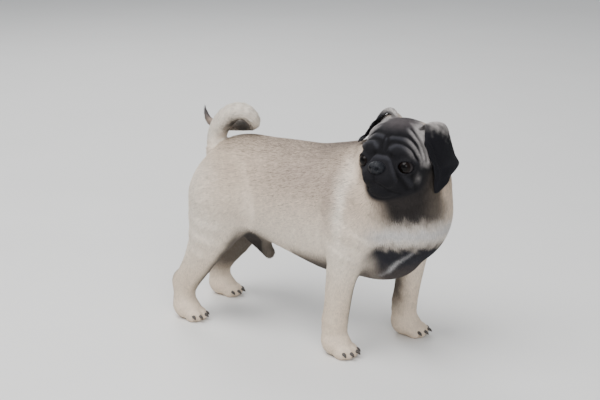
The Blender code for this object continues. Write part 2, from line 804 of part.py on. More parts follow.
def limb_joints(side, kind):
    """The middle line and the radii of the space that a leg fills."""
    if kind == "fore":
        x = FORE_X[side]
        joints = [
            point(0.110, 0.062, 0.176),
            point(elbow_x(side), 0.062, ELBOW),
            point(x + 0.006, 0.064, 0.060),
            point(x + 0.010, 0.064, -0.010),
        ]
        return joints, (0.034, 0.036, 0.040, 0.044)
    x = HIND_X[side]
    joints = [
        point(-0.104, 0.062, 0.170),
        point(-0.110, 0.062, 0.122),
        point(x + 0.007, 0.062, 0.050),
        point(x + 0.010, 0.062, -0.010),
    ]
    return joints, (0.044, 0.044, 0.044, 0.048)


def limb_region(name, side, kind):
    """The space that a leg fills, with a rounded top inside the shoulder or the hip."""
    joints, radii = limb_joints(side, kind)
    x = joints[-1][0]

    def field(p):
        return chain(mirrored(p, side), joints, radii, 0.02)

    sign = 1 if side == "left" else -1
    y_range = sorted((0.002 * sign, 0.125 * sign))
    region = net(name, field, (x - 0.07, y_range[0], -0.06), (x + 0.11, y_range[1], 0.24), 0.007)
    return thin_out(region, 500)


def cut_head(body):
    """The head from the fine net, and the body below it."""
    head = net("head", body_field, HEAD_AT - HEAD_BOX, HEAD_AT + HEAD_BOX, HEAD_CELL)
    thin_out(head, HEAD_TRIANGLES)
    above = half_space("above_neck", HEAD_CUT_AT, HEAD_CUT_FACING, push=GAP / 2)
    boolean(head, above, "INTERSECT")
    below = half_space("below_head", HEAD_CUT_AT, [-c for c in HEAD_CUT_FACING], push=GAP / 2)
    boolean(body, below, "INTERSECT")
    remove(above, below)
    keep_largest(head)
    for side in ("left", "right"):
        socket = sphere("socket", eye_place(side), EYE_RADIUS + GAP, *EYE_GRID)
        boolean(head, socket, "DIFFERENCE")
        remove(socket)
    return keep_largest(head)


def cut_neck(torso):
    space = half_space("neck_space", NECK_CUT_AT, NECK_CUT_FACING, push=GAP / 2)
    over = box("over_breast", (0.0, -0.2, BREAST_CUT_HEIGHT), (0.4, 0.2, 0.5))
    boolean(space, over, "INTERSECT")
    neck = copy_of(torso, "neck")
    boolean(neck, space, "INTERSECT")
    wider = grown_block(space, GAP)
    boolean(torso, wider, "DIFFERENCE")
    remove(space, over, wider)
    return keep_largest(neck)


def grown_block(obj, by):
    """A copy of a convex flat-sided block with each side moved out."""
    twin = copy_of(obj, obj.name + "_grown")
    shell = bmesh.new()
    shell.from_mesh(twin.data)
    bmesh.ops.dissolve_limit(shell, angle_limit=0.01, verts=shell.verts[:], edges=shell.edges[:])
    for vert in shell.verts:
        normals = [f.normal.copy() for f in vert.link_faces]
        rows = np.array([tuple(n) for n in normals])
        move = np.linalg.lstsq(rows, np.full(len(rows), by), rcond=None)[0]
        vert.co += Vector(move)
    shell.to_mesh(twin.data)
    shell.free()
    return twin


def cut_leg(torso, side, kind):
    region = limb_region("region", side, kind)
    leg = copy_of(torso, f"{kind}_leg_{side}")
    boolean(leg, region, "INTERSECT")
    wider = grown(region, GAP)
    boolean(torso, wider, "DIFFERENCE")
    remove(region, wider)
    return keep_largest(leg)


def eye_place(side):
    return out_of_head(mirrored(EYE_AT, side))


def rooted(obj, base):
    """A thin part with what would lie inside base, and a gap round it, cut away."""
    wider = grown(base, GAP)
    boolean(obj, wider, "DIFFERENCE")
    remove(wider)
    return keep_largest(obj)


def make_parts():
    """Every named part, built in place with the soles at Z = 0."""
    torso = net("torso", body_field, BODY_LOW, BODY_HIGH, BODY_CELL)
    thin_out(torso, BODY_TRIANGLES)
    floor = box("floor_cut", (-0.5, -0.5, -0.1), (0.5, 0.5, 0.0))
    boolean(torso, floor, "DIFFERENCE")
    remove(floor)
    head = cut_head(torso)
    neck = cut_neck(torso)
    legs = {(kind, side): cut_leg(torso, side, kind) for kind in ("fore", "hind") for side in SIDES}
    keep_largest(torso)

    tail = rooted(face_out(tube("tail", TAIL_JOINTS, 26, 11)), torso)
    ears = [rooted(rooted(ear(side), head), neck) for side in SIDES]
    eyes = [sphere(f"eye_{side}", eye_place(side), EYE_RADIUS, *EYE_GRID) for side in SIDES]
    tip = out_of_head(NOSE_AT)
    nose = net("nose", nose_field, tip - NOSE_BOX, tip + NOSE_BOX, NOSE_CELL)
    nose = rooted(thin_out(nose, NOSE_TRIANGLES), head)
    claws = []
    for (kind, side), leg in legs.items():
        foot, toe_out, size = fore_foot(side), FORE_TOE_OUT, 1.0
        if kind == "hind":
            foot, toe_out, size = hind_foot(side), HIND_TOE_OUT, HIND_PAW_SIZE
        for number, degrees in enumerate(TOE_ANGLES, 1):
            nail = claw(f"claw_{kind}_{side}_{number}", side, foot, toe_out, size, degrees)
            claws.append((rooted(nail, leg), leg))
    return torso, neck, head, legs, tail, ears, eyes, nose, claws


# Colours, and each part's place.

COLOURS = {
    "coat_fawn": ((0.55, 0.46, 0.37), 0.85),
    "coat_mask": ((0.060, 0.052, 0.052), 0.80),
    "coat_ear": ((0.020, 0.019, 0.024), 0.75),
    "eye": ((0.020, 0.010, 0.006), 0.08),
    "nose": ((0.012, 0.012, 0.014), 0.40),
    "claw": ((0.030, 0.026, 0.024), 0.45),
}


def material(name):
    colour, roughness = COLOURS[name]
    made = bpy.data.materials.get(name) or bpy.data.materials.new(name)
    made.use_nodes = True
    shader = made.node_tree.nodes["Principled BSDF"]
    shader.inputs["Base Color"].default_value = (*colour, 1.0)
    shader.inputs["Roughness"].default_value = roughness
    shader.inputs["Metallic"].default_value = 0.0
    made.diffuse_color = (*colour, 1.0)
    return made


def origin_of(obj):
    """Where an object's origin is. No part is turned, so its parents' places add up."""
    return obj.location + origin_of(obj.parent) if obj.parent else obj.location.copy()


def place(obj, at, colour, parent=None):
    """Gives a part its own origin at a point, its colour and its parent."""
    at = Vector(at)
    obj.data.transform(Matrix.Translation(-at))
    obj.data.shade_smooth()
    obj.data.set_sharp_from_angle(angle=math.radians(35))
    obj.data.materials.clear()
    obj.data.materials.append(material(colour))
    obj.location = at - Vector(ORIGIN)
    if parent:
        obj.location -= origin_of(parent)
        obj.parent = parent


def start_clean():
    for obj in list(bpy.data.objects):
        bpy.data.objects.remove(obj)


def main():
    start_clean()
    torso, neck, head, legs, tail, ears, eyes, nose, claws = make_parts()
    place(torso, (0, 0, (BACK + BRISKET) / 2), "coat_fawn")
    place(neck, NECK_CUT_AT, "coat_fawn", torso)
    place(head, HEAD_AT, "coat_mask", neck)
    place(tail, TAIL_JOINTS[0][:3], "coat_fawn", torso)
    for (kind, side), leg in legs.items():
        joints, _ = limb_joints(side, kind)
        place(leg, mirrored(joints[0], side), "coat_fawn", torso)
    for side, part in zip(SIDES, ears):
        root = point(*EAR_ROWS[side][0][:3]) * MM
        place(part, out_of_head(mirrored(root, side)), "coat_ear", head)
    for side, part in zip(SIDES, eyes):
        place(part, eye_place(side), "eye", head)
    place(nose, out_of_head(NOSE_AT), "nose", head)
    for part, leg in claws:
        corners = np.array([v.co for v in part.data.vertices])
        place(part, corners.mean(axis=0), "claw", leg)


if __name__ == "__main__":
    main()
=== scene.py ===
"""The look of a young fawn pug that stands square and turns its head back over its right shoulder.

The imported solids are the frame. One skin over the whole body is worked out here from the same sizes
and the same fields as the solids, a little inside them, and short tufts of fur cover it. The eyes,
the nose and the claws are pieces of their own. Lengths are in metres, or in mm on the head.
"""

import math

import bmesh
import bpy
import numpy as np
from bpy.props import (
    FloatProperty,
    FloatVectorProperty,
    IntProperty,
    PointerProperty,
)
from mathutils import Matrix, Vector


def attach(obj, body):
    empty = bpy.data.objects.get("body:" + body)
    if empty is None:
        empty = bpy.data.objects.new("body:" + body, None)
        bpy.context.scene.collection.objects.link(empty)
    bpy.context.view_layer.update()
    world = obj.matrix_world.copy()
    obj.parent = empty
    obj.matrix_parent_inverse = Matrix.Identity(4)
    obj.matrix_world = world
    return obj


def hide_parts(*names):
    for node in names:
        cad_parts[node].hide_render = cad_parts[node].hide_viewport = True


bl_info = {
    "name": "Pug",
    "version": (1, 0, 0),
    "blender": (4, 5, 0),
    "location": "3D View > Sidebar > Pug",
    "description": "Builds the skin, fur, eyes, nose and claws of a standing pug over its solids",
    "category": "Add Mesh",
}

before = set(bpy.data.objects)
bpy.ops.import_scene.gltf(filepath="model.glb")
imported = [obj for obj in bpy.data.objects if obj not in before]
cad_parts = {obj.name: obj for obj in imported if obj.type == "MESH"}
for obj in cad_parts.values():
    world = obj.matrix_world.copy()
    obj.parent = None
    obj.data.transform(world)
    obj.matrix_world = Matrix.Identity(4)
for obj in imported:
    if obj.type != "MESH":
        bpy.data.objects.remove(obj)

MM = 0.001
SIDES = ("right", "left")

# Moves the middle of the standing dog's box to the origin.
ORIGIN = np.array([0.0099, -0.0022, 0.0])

# Height of the back over the soles, which the body's other sizes go with.
BACK = 0.252
BRISKET = 0.088
ELBOW = 0.142
HOCK = 0.052
CHEST_FRONT = 0.198
RUMP_BACK = -0.148
CHEST_HALF = 0.058
FORE_X = {"right": 0.080, "left": 0.119}
HIND_X = {"right": -0.157, "left": -0.173}
FOOT_Y = 0.054

# The head's own axes: +X to the nose, +Y to the dog's left, +Z to the crown.
HEAD_AT = np.array([0.1523, -0.0239, 0.2536])
HEAD_TURN = -92.0
HEAD_NOD = -4.0
EYE_AT = np.array([31.0, 26.5, 0.0]) * MM
EYE_RADIUS = 9.6 * MM
EYE_YAW = 24.0
EYE_OPENING = np.array([8.4, 6.7]) * MM
LID_THICKNESS = 1.9 * MM
NOSE_AT = np.array([53.0, 0.0, -2.5]) * MM

# Paws. Their round soles reach below the floor, which cuts them flat.
TOE_ANGLES = (-27.0, -9.5, 9.5, 27.0)
FORE_TOE_OUT = 8.0
HIND_TOE_OUT = 6.0
HIND_PAW_SIZE = 0.94
# A toe turns out by this share of the angle of its place on the paw.
TOE_TURN = 0.6
SOLE_SINK = 1.5 * MM

BODY_LOW = np.array([-0.200, -0.110, -0.004])
BODY_HIGH = np.array([0.225, 0.090, 0.320])
HEAD_BOX = np.array([0.080, 0.080, 0.080])

# A field that is worked out only near its part is this far off elsewhere.
FAR = 0.2
NECK_FILLET = 0.036

# How far the skin lies inside the solids.
COAT_DEPTH = 1.3 * MM
SHORT_COAT_DEPTH = 0.5 * MM


def point(x, y, z):
    return np.array([x, y, z])


def mirrored(p, side):
    """Points as the left side sees them, so one description serves both sides."""
    flip = np.array([1.0, 1.0 if side == "left" else -1.0, 1.0])
    return p * flip


def head_axes():
    turn = Matrix.Rotation(math.radians(HEAD_TURN), 3, "Z")
    nod = Matrix.Rotation(math.radians(HEAD_NOD), 3, "Y")
    return np.array(turn @ nod)


HEAD_AXES = head_axes()


def unit(v):
    """Vectors scaled to length 1."""
    return v / np.maximum(np.linalg.norm(v, axis=-1, keepdims=True), 1e-9)


def into_head(p):
    return (p - HEAD_AT) @ HEAD_AXES


def out_of_head(q):
    return q @ HEAD_AXES.T + HEAD_AT


def folded(q):
    """Head points with the right side laid over the left, as both are alike."""
    s = np.array(q)
    s[..., 1] = np.abs(s[..., 1])
    return s


# Fields. Each is the distance to a shape's surface, negative inside it.


def blend(a, b, soft):
    """Union of two fields with a fillet about as wide as soft."""
    h = np.clip(0.5 + 0.5 * (b - a) / soft, 0.0, 1.0)
    return b + (a - b) * h - soft * h * (1.0 - h)


def carve(a, b, soft):
    """Field a with b taken away."""
    return -blend(-a, b, soft)


def ball(p, centre, radii, turn=None):
    """Ellipsoid of the given radii. The columns of turn are its own axes."""
    q = p - np.asarray(centre)
    if turn is not None:
        q = q @ turn
    r = np.asarray(radii)
    near = np.linalg.norm(q / r, axis=-1)
    steep = np.linalg.norm(q / r**2, axis=-1)
    return near * (near - 1.0) / np.maximum(steep, 1e-9)


def lumps(p, rows, size=1.0):
    """Ellipsoids blended one after another. Each has a middle, radii and a fillet, times size."""
    d = None
    for middle, radii, soft in rows:
        lump = ball(p, np.array(middle) * size, np.array(radii) * size)
        d = lump if d is None else blend(d, lump, soft * size)
    return d


def bone(p, start, end, r_start, r_end):
    """Tapered rod with round ends."""
    along = end - start
    q = p - start
    t = np.clip(q @ along / (along @ along), 0.0, 1.0)
    return np.linalg.norm(q - t[..., None] * along, axis=-1) - (r_start + (r_end - r_start) * t)


def chain(p, joints, radii, soft):
    """Rods from joint to joint."""
    d = bone(p, joints[0], joints[1], radii[0], radii[1])
    for i in range(1, len(joints) - 1):
        d = blend(d, bone(p, joints[i], joints[i + 1], radii[i], radii[i + 1]), soft)
    return d


def smooth_path(joints, count):
    """Rows of numbers along one smooth curve through the joints' rows."""
    knots = np.asarray(joints, float)
    ends = 2 * knots[[0, -1]] - knots[[1, -2]]
    k = np.vstack([ends[:1], knots, ends[1:]])
    at = np.linspace(0, len(knots) - 1 - 1e-9, count)
    i = at.astype(int)
    t = (at - i)[:, None]
    a, b, c, d = k[i], k[i + 1], k[i + 2], k[i + 3]
    square, cube = 2 * a - 5 * b + 4 * c - d, 3 * b - a - 3 * c + d
    return 0.5 * (2 * b + (c - a) * t + square * t**2 + cube * t**3)


def limb(p, joints, count=10):
    """A smooth rod through joints of (x, y, z, radius)."""
    path = smooth_path(joints, count)
    return chain(p, path[:, :3], path[:, 3], 0.4 * MM)


def tilted(degrees, axis="Y"):
    return np.array(Matrix.Rotation(math.radians(degrees), 3, axis))


# The ribs, loin, rump, breast and brisket: the middle, radii and fillet of each.
TRUNK_LUMPS = (
    ((0.060, 0, (BACK + BRISKET) / 2), (0.105, CHEST_HALF, (BACK - BRISKET) / 2), 0),
    ((-0.030, 0, BACK - 0.071), (0.100, 0.050, 0.070), 0.030),
    ((RUMP_BACK + 0.056, 0, 0.192), (0.056, 0.050, 0.054), 0.026),
    ((CHEST_FRONT - 0.061, 0.002, 0.173), (0.061, 0.054, 0.062), 0.026),
    ((CHEST_FRONT - 0.078, 0, BRISKET + 0.030), (0.040, 0.040, 0.025), 0.020),
)


def trunk_field(p):
    """The trunk's lumps, with the sheath under the belly."""
    sheath = bone(p, point(-0.086, 0, 0.122), point(-0.054, 0, 0.094), 0.013, 0.0085)
    return blend(lumps(p, TRUNK_LUMPS), sheath, 0.020)


def neck_field(p):
    """Neck and throat, with the roll of skin that the turned head draws down the near shoulder."""
    d = bone(p, point(0.088, 0, 0.200), point(0.142, -0.008, 0.236), 0.053, 0.050)
    throat = bone(p, point(0.149, 0.008, 0.192), point(0.155, 0.003, 0.222), 0.046, 0.046)
    d = blend(d, throat, 0.020)
    roll = (
        point(0.083, -0.028, 0.242),
        point(0.089, -0.048, 0.223),
        point(0.090, -0.054, 0.197),
        point(0.087, -0.055, 0.168),
    )
    return blend(d, chain(p, roll, (0.010, 0.0125, 0.0125, 0.009), 0.01), 0.012)


def fore_foot(side):
    return point(FORE_X[side] + 0.001, FOOT_Y, -SOLE_SINK)


def hind_foot(side):
    return point(HIND_X[side] + 0.004, FOOT_Y - 0.003, -SOLE_SINK)


def toe_middle(degrees):
    """Middle of a toe ahead of the point under the ankle. The two inner toes reach further."""
    a = math.radians(degrees)
    reach = 0.0225 if abs(degrees) < 15 else 0.0185
    return point(reach * math.cos(a), reach * math.sin(a) * 1.25, 0.0085)


def paw_field(p, foot, toe_out, size):
    """A paw with four toes. foot is the point under the ankle, and p is on the left side."""
    q = (p - foot) @ tilted(toe_out, "Z") / size
    d = ball(q, (0.004, 0, 0.0145), (0.020, 0.0165, 0.0145))
    for degrees in TOE_ANGLES:
        toe = ball(q, toe_middle(degrees), (0.0105, 0.0062, 0.0092), tilted(degrees * TOE_TURN, "Z"))
        d = blend(d, toe, 0.0035)
    return d * size


def elbow_x(side):
    """The elbow stands between the ribs and the foot."""
    return 0.036 + 0.80 * FORE_X[side]


def fore_leg_field(p, side):
    q = mirrored(p, side)
    x = FORE_X[side]
    joints = (
        (0.122, 0.034, 0.188, 0.043),
        (elbow_x(side), 0.052, ELBOW, 0.0265),
        (x + 0.009, FOOT_Y, 0.098, 0.0195),
        (x + 0.004, FOOT_Y, 0.062, 0.0172),
        (x + 0.001, FOOT_Y, 0.044, 0.0176),
        (x, FOOT_Y, 0.024, 0.0158),
    )
    d = limb(q, joints)
    elbow = ball(q, (elbow_x(side) - 0.020, 0.054, ELBOW - 0.002), (0.011, 0.010, 0.014))
    d = blend(d, elbow, 0.014)
    return blend(d, paw_field(q, fore_foot(side), FORE_TOE_OUT, 1.0), 0.010)


def hind_leg_field(p, side):
    q = mirrored(p, side)
    x = HIND_X[side]
    thigh = ball(q, (-0.102, 0.036, 0.172), (0.047, 0.029, 0.060), tilted(8))
    joints = (
        (-0.100, 0.040, 0.165, 0.041),
        (-0.042 + 0.44 * x, 0.047, 0.126, 0.0315),
        (-0.030 + 0.62 * x, 0.050, 0.090, 0.0225),
        (x + 0.006, 0.051, HOCK, 0.0172),
        (x + 0.001, 0.051, 0.036, 0.0152),
        (x, 0.051, 0.020, 0.0150),
    )
    d = limb(q, joints)
    d = blend(d, thigh, 0.022)
    point_of_hock = ball(q, (x - 0.006, 0.051, HOCK - 0.001), (0.010, 0.010, 0.013))
    d = blend(d, point_of_hock, 0.010)
    return blend(d, paw_field(q, hind_foot(side), HIND_TOE_OUT, HIND_PAW_SIZE), 0.010)


# The tail climbs from the croup, curls over to the front and comes back beside the far hip, where
# its tip stands up. Each joint is a point and the radius there.
TAIL_JOINTS = (
    (-0.1340, 0.000, 0.2190, 0.0170),
    (-0.1362, 0.000, 0.2348, 0.0140),
    (-0.1304, -0.003, 0.2509, 0.0138),
    (-0.1175, -0.007, 0.2667, 0.0138),
    (-0.1008, -0.010, 0.2785, 0.0128),
    (-0.0864, -0.008, 0.2800, 0.0119),
    (-0.0795, -0.001, 0.2720, 0.0106),
    (-0.0855, 0.010, 0.2620, 0.0096),
    (-0.1040, 0.021, 0.2555, 0.0088),
    (-0.1280, 0.029, 0.2500, 0.0080),
    (-0.1530, 0.033, 0.2460, 0.0070),
    (-0.1700, 0.034, 0.2485, 0.0052),
    (-0.1765, 0.033, 0.2570, 0.0036),
    (-0.1785, 0.031, 0.2695, 0.0013),
)


# The folds of the head. Each has a path of (bearing, height) in degrees as seen from the head's
# middle, a width in mm and how far it stands out (or, if negative, is pressed in) in mm. Bearing
# runs from the nose to the ear, height from the eye line to the crown; both sides are alike.
FOLDS = {
    "nose_roll": (((0, 11), (9, 11), (17, 7), (22, -4), (26, -16)), 3.0, 2.0),
    "nose_roll_furrow": (((0, 17), (9, 17), (15, 15)), 2.0, -1.5),
    "inner_eye_furrow": (((15, 15), (21, 3), (28, -12), (37, -25), (45, -34)), 2.2, -1.9),
    "cheek_ridge": (((29, -4), (39, -15), (49, -26)), 3.2, 1.5),
    "cheek_furrow": (((47, -8), (55, -20), (60, -34)), 2.4, -1.3),
    "frown_furrow": (((4, 24), (6, 33), (3, 45)), 1.9, -1.7),
    "lower_brow_ridge": (((13, 26), (24, 31), (38, 26), (50, 15), (60, 5)), 2.6, 1.5),
    "lower_brow_furrow": (((7, 33), (14, 37), (30, 36), (45, 28), (56, 15), (64, 4)), 1.9, -1.8),
    "brow_ridge": (((0, 40), (13, 43), (40, 41), (53, 30), (61, 19), (67, 8)), 2.7, 1.5),
    "brow_furrow": (((0, 48), (14, 50), (42, 48), (56, 37), (66, 21), (71, 8)), 1.9, -1.8),
    "crown_ridge": (((50, 60), (58, 43), (66, 27), (73, 12)), 2.6, 1.3),
    "crown_furrow": (((58, 58), (66, 42), (73, 25), (79, 8)), 1.9, -1.5),
    "temple_ridge": (((66, 56), (74, 40), (81, 22), (85, 4)), 2.8, 1.2),
    "lip_cleft": (((0, -8), (0, -18)), 1.2, -1.4),
    "mouth": (((0, -19), (7, -20), (12, -24), (18, -31), (26, -37), (34, -41)), 1.3, -3.0),
}
FOLD_REACH = 13.0 * MM

# The raised base of each ear, in head mm with Y outwards.
EAR_BASES = {
    "left": (point(-8, 35, 32), point(15, 9.5, 13)),
    "right": (point(-21, 26, 39), point(17, 13, 13)),
}


# The skull, cheeks, jowls, throat, muzzle, flews, chin, jaw and brow in head mm: the middle, radii
# and fillet of each.
HEAD_LUMPS = (
    ((-5, 0, 10), (45, 41.5, 40), 0),
    ((-10, 21, 22), (29, 21, 21), 10),
    ((8, 0, -6), (35, 38, 31), 12),
    ((8, 22, -16), (27, 18, 21), 10),
    ((-6, 0, -24), (38, 29, 22), 12),
    ((38, 0, -12), (20, 22, 16), 9),
    ((46, 9.5, -16), (12, 12, 11.5), 5),
    ((40, 0, -28), (13.5, 14, 11), 4),
    ((22, 0, -28), (26, 24, 14), 8),
    ((30, 19, 16), (9, 14, 8), 9),
)


def smooth_head(s):
    """The head without its folds and lids, at head points whose Y is not negative."""
    return lumps(s, HEAD_LUMPS, MM)


def on_head(bearing, height):
    """The point of the smooth head seen from its middle in a direction given in degrees."""
    b, h = math.radians(bearing), math.radians(height)
    way = point(math.cos(b) * math.cos(h), math.sin(b) * math.cos(h), math.sin(h))
    near, far = 20 * MM, 90 * MM
    for _ in range(24):
        middle = (near + far) / 2
        if smooth_head(way * middle) < 0:
            near = middle
        else:
            far = middle
    return way * near


FOLD_LINES = {
    name: ([on_head(*at) for at in smooth_path(path, 4 * len(path))], width * MM, stands * MM)
    for name, (path, width, stands) in FOLDS.items()
}


def fold_shift(s):
    """How far the folds move the skin outwards at head points whose Y is not negative."""
    shift = np.zeros(s.shape[:-1])
    for line, width, stands in FOLD_LINES.values():
        off = np.full(shift.shape, 1.0)
        for start, end in zip(line[:-1], line[1:]):
            off = np.minimum(off, bone(s, start, end, 0.0, 0.0))
        shift += stands * np.exp(-((off / width) ** 2))
    return shift


def eye_axes():
    """Columns: out of the eye, along the lids, and up, for the left eye."""
    return tilted(EYE_YAW, "Z")


def lids(s, d):
    """Lids over the eyeball, open in front in an oval, on field d."""
    d = blend(d, ball(s, EYE_AT, np.full(3, EYE_RADIUS + LID_THICKNESS)), 5 * MM)
    r = (s - EYE_AT) @ eye_axes()
    oval = np.hypot(r[..., 1] / EYE_OPENING[0], (r[..., 2] + 0.4 * MM) / EYE_OPENING[1]) - 1.0
    opening = np.maximum(oval * EYE_OPENING[1], 3 * MM - r[..., 0])
    return carve(d, opening, 1.4 * MM)


def head_field(p):
    """Skull, cheeks, muzzle, chin, folds, lids and the base of each ear."""
    q = into_head(p)
    s = folded(q)
    d = smooth_head(s)
    near = np.abs(d) < FOLD_REACH
    close = s[near]
    d[near] = lids(close, d[near] - fold_shift(close))
    for side, (middle, radii) in EAR_BASES.items():
        base = ball(mirrored(q, side), middle * MM, radii * MM, tilted(-20, "X"))
        d = blend(d, base, 6 * MM)
    return d


def within(p, low, high, field):
    """A field that is worked out only inside a box, and is far off outside it."""
    d = np.full(p.shape[:-1], FAR)
    near = ((p > low) & (p < high)).all(-1)
    if near.any():
        d[near] = field(p[near])
    return d


def ramp(x, low, high):
    """0 up to low, 1 from high on, and a smooth step between."""
    t = np.clip((x - low) / (high - low), 0.0, 1.0)
    return t * t * (3.0 - 2.0 * t)


def flesh(p):
    """The body field, with each part worked out only near it."""
    d = within(p, (-0.200, -0.100, 0.050), (0.250, 0.100, 0.320), trunk_field)
    d = blend(d, within(p, (0.000, -0.120, 0.080), (0.260, 0.120, 0.340), neck_field), NECK_FILLET)
    d = blend(d, within(p, HEAD_AT - 0.100, HEAD_AT + 0.100, head_field), 0.010)
    for side in SIDES:
        left = side == "left"
        y_low, y_high = (-0.030, 0.125) if left else (-0.125, 0.030)
        for foot_x, field in ((FORE_X[side], fore_leg_field), (HIND_X[side], hind_leg_field)):
            low, high = (foot_x - 0.080, y_low, -0.02), (foot_x + 0.130, y_high, 0.260)
            leg = within(p, low, high, lambda q, field=field: field(q, side))
            d = blend(d, leg, 0.014)
    return d


def tail_field(p):
    return within(p, (-0.21, -0.05, 0.19), (-0.04, 0.08, 0.32), lambda q: limb(q, TAIL_JOINTS, 26))


# The net: quads through every cell of a grid where the field changes sign.


def grid_values(field, low, cell, counts, block=4):
    """The field on a grid. Blocks far from the surface take the value at their middle."""
    blocks = [-(-c // block) for c in counts]
    middles = [low[i] + cell * (np.arange(blocks[i]) * block + (block - 1) / 2) for i in range(3)]
    rough = field(np.stack(np.meshgrid(*middles, indexing="ij"), -1))
    values = rough
    for axis in range(3):
        values = np.repeat(values, block, axis=axis)
    values = values[: counts[0], : counts[1], : counts[2]].copy()
    near = np.nonzero(np.abs(values) < cell * block * 1.6)
    points = np.stack([low[i] + cell * near[i] for i in range(3)], -1)
    values[near] = field(points)
    return values


def net_points(values, low, cell):
    """One point in each cell that the surface crosses: the mean of its edges' crossings."""
    corners = {}
    for key in np.ndindex(2, 2, 2):
        part = tuple(slice(k, k - 1 or None) for k in key)
        corners[key] = values[part]
    total = np.zeros(corners[0, 0, 0].shape + (3,))
    hits = np.zeros(corners[0, 0, 0].shape)
    for axis in range(3):
        for key in np.ndindex(2, 2, 2):
            if key[axis]:
                continue
            other = tuple(k + (i == axis) for i, k in enumerate(key))
            a, b = corners[key], corners[other]
            cross = (a < 0) != (b < 0)
            t = np.where(cross, a / np.where(cross, a - b, 1.0), 0.0)
            for i in range(3):
                total[..., i] += cross * (t if i == axis else key[i])
            hits += cross
    cells = np.nonzero(hits)
    inner = total[cells] / hits[cells][:, None]
    points = np.asarray(low) + cell * (np.stack(cells, -1) + inner)
    index = np.full(hits.shape, -1)
    index[cells] = np.arange(len(points))
    return points, index


def net_quads(values, index):
    """A quad round each grid edge whose ends lie on opposite sides of the surface."""
    quads = []
    for axis in range(3):
        u, v = (axis + 1) % 3, (axis + 2) % 3
        lower = [slice(None)] * 3
        upper = [slice(None)] * 3
        lower[axis], upper[axis] = slice(None, -1), slice(1, None)
        a, b = values[tuple(lower)] < 0, values[tuple(upper)] < 0
        at = np.stack(np.nonzero(a != b), -1)
        at = at[(at[:, u] > 0) & (at[:, v] > 0)]
        at = at[(at[:, u] < index.shape[u]) & (at[:, v] < index.shape[v])]
        step_u, step_v = np.eye(3, dtype=int)[u], np.eye(3, dtype=int)[v]
        ring = [at - step_u - step_v, at - step_v, at, at - step_u]
        quad = np.stack([index[tuple(r.T)] for r in ring], -1)
        outward = a[tuple(at.T)]
        quad[~outward] = quad[~outward][:, ::-1]
        quads.append(quad)
    return np.concatenate(quads)


def settle(points, field, steps=2, probe=0.0004):
    """Moves points onto the field's surface along its slope."""
    for _ in range(steps):
        value = field(points)
        rise = [field(points + probe * e) - field(points - probe * e) for e in np.eye(3)]
        slope = np.stack(rise, -1) / (2 * probe)
        square = np.maximum((slope**2).sum(-1), 0.25)
        points = points - slope * np.clip(value / square, -0.0015, 0.0015)[:, None]
    return points


def net(field, low, high, cell):
    """Points and quads of a closed surface on a field inside the box from low to high."""
    low, high = np.asarray(low, float), np.asarray(high, float)
    counts = np.ceil((high - low) / cell).astype(int) + 1
    values = grid_values(field, low, cell, counts)
    for axis in range(3):
        edge = [slice(None)] * 3
        for end in (0, -1):
            edge[axis] = end
            values[tuple(edge)] = np.maximum(values[tuple(edge)], cell / 2)
    points, index = net_points(values, low, cell)
    quads = net_quads(values, index)
    inner = ((points > low + 2 * cell) & (points < high - 2 * cell)).all(-1)
    points[inner] = settle(points[inner], field)
    return points, quads


def refined(points, faces, inside):
    """Triangles with every corner inside a region cut in four, and those with two there cut in two."""
    after = np.roll(faces, -1, axis=1)
    cut = inside[faces] & inside[after]
    low, high = np.minimum(faces, after), np.maximum(faces, after)
    keys, place = np.unique((low * len(points) + high)[cut], return_inverse=True)
    middle = np.full(faces.shape, -1)
    middle[cut] = len(points) + place
    ends = np.stack([keys // len(points), keys % len(points)], -1)
    points = np.vstack([points, points[ends].mean(axis=1)])
    count = cut.sum(axis=1)
    a, b, c = faces[count == 3].T
    ab, bc, ca = middle[count == 3].T
    four = [(a, ab, ca), (ab, b, bc), (ca, bc, c), (ab, bc, ca)]
    first = cut[count == 1].argmax(axis=1)[:, None]
    corner = [np.take_along_axis(faces[count == 1], (first + k) % 3, 1)[:, 0] for k in range(3)]
    half = np.take_along_axis(middle[count == 1], first, 1)[:, 0]
    two = [(corner[0], half, corner[2]), (half, corner[1], corner[2])]
    pieces = [faces[count == 0]] + [np.stack(f, -1) for f in four + two]
    return points, np.concatenate(pieces)


def frames(middles):
    """For points along a path: two directions across it, with little twist."""
    ahead = unit(np.gradient(middles, axis=0))
    first = np.cross(ahead[0], (0.0, 1.0, 0.0))
    side = [first / np.linalg.norm(first)]
    for way in ahead[1:]:
        flat = side[-1] - way * (side[-1] @ way)
        side.append(flat / np.linalg.norm(flat))
    side = np.array(side)
    return side, np.cross(ahead, side)


# The rows of each ear run from its root over the fold to its tip: the middle's X, Y and Z in head
# mm, with Y outwards, half the width there, and how far the middle bulges. The right ear is
# carried a little higher and further back than the left.
EAR_ROWS = {
    "left": (
        (-8, 25, 31, 12, 0.5),
        (-7, 34, 42, 14, 1.5),
        (-6, 40, 46, 15, 3.0),
        (-5, 44, 41, 17, 5.0),
        (-7, 45, 28, 20, 8.0),
        (-15, 45, 10, 22.5, 9.0),
        (-22, 45, -4, 25.5, 7.0),
        (-15, 45, -19, 15, 5.0),
        (-6, 44, -34, 2.0, 0.0),
    ),
    "right": (
        (-20, 18, 37, 12, 0.5),
        (-23, 24, 48, 14, 1.5),
        (-23, 31, 52, 16, 2.5),
        (-21, 37, 48, 18, 4.0),
        (-17, 41, 37, 19, 5.0),
        (-14, 43, 24, 19, 5.0),
        (-12, 44, 12, 15, 4.0),
        (-10, 46, 2, 9, 2.0),
        (-8, 48, -6, 2.0, 0.0),
    ),
}
EAR_ACROSS = np.array([-0.92, 0.39, 0.0])
EAR_THICKNESS = 3.4 * MM
EAR_CLEARANCE = 1.6 * MM
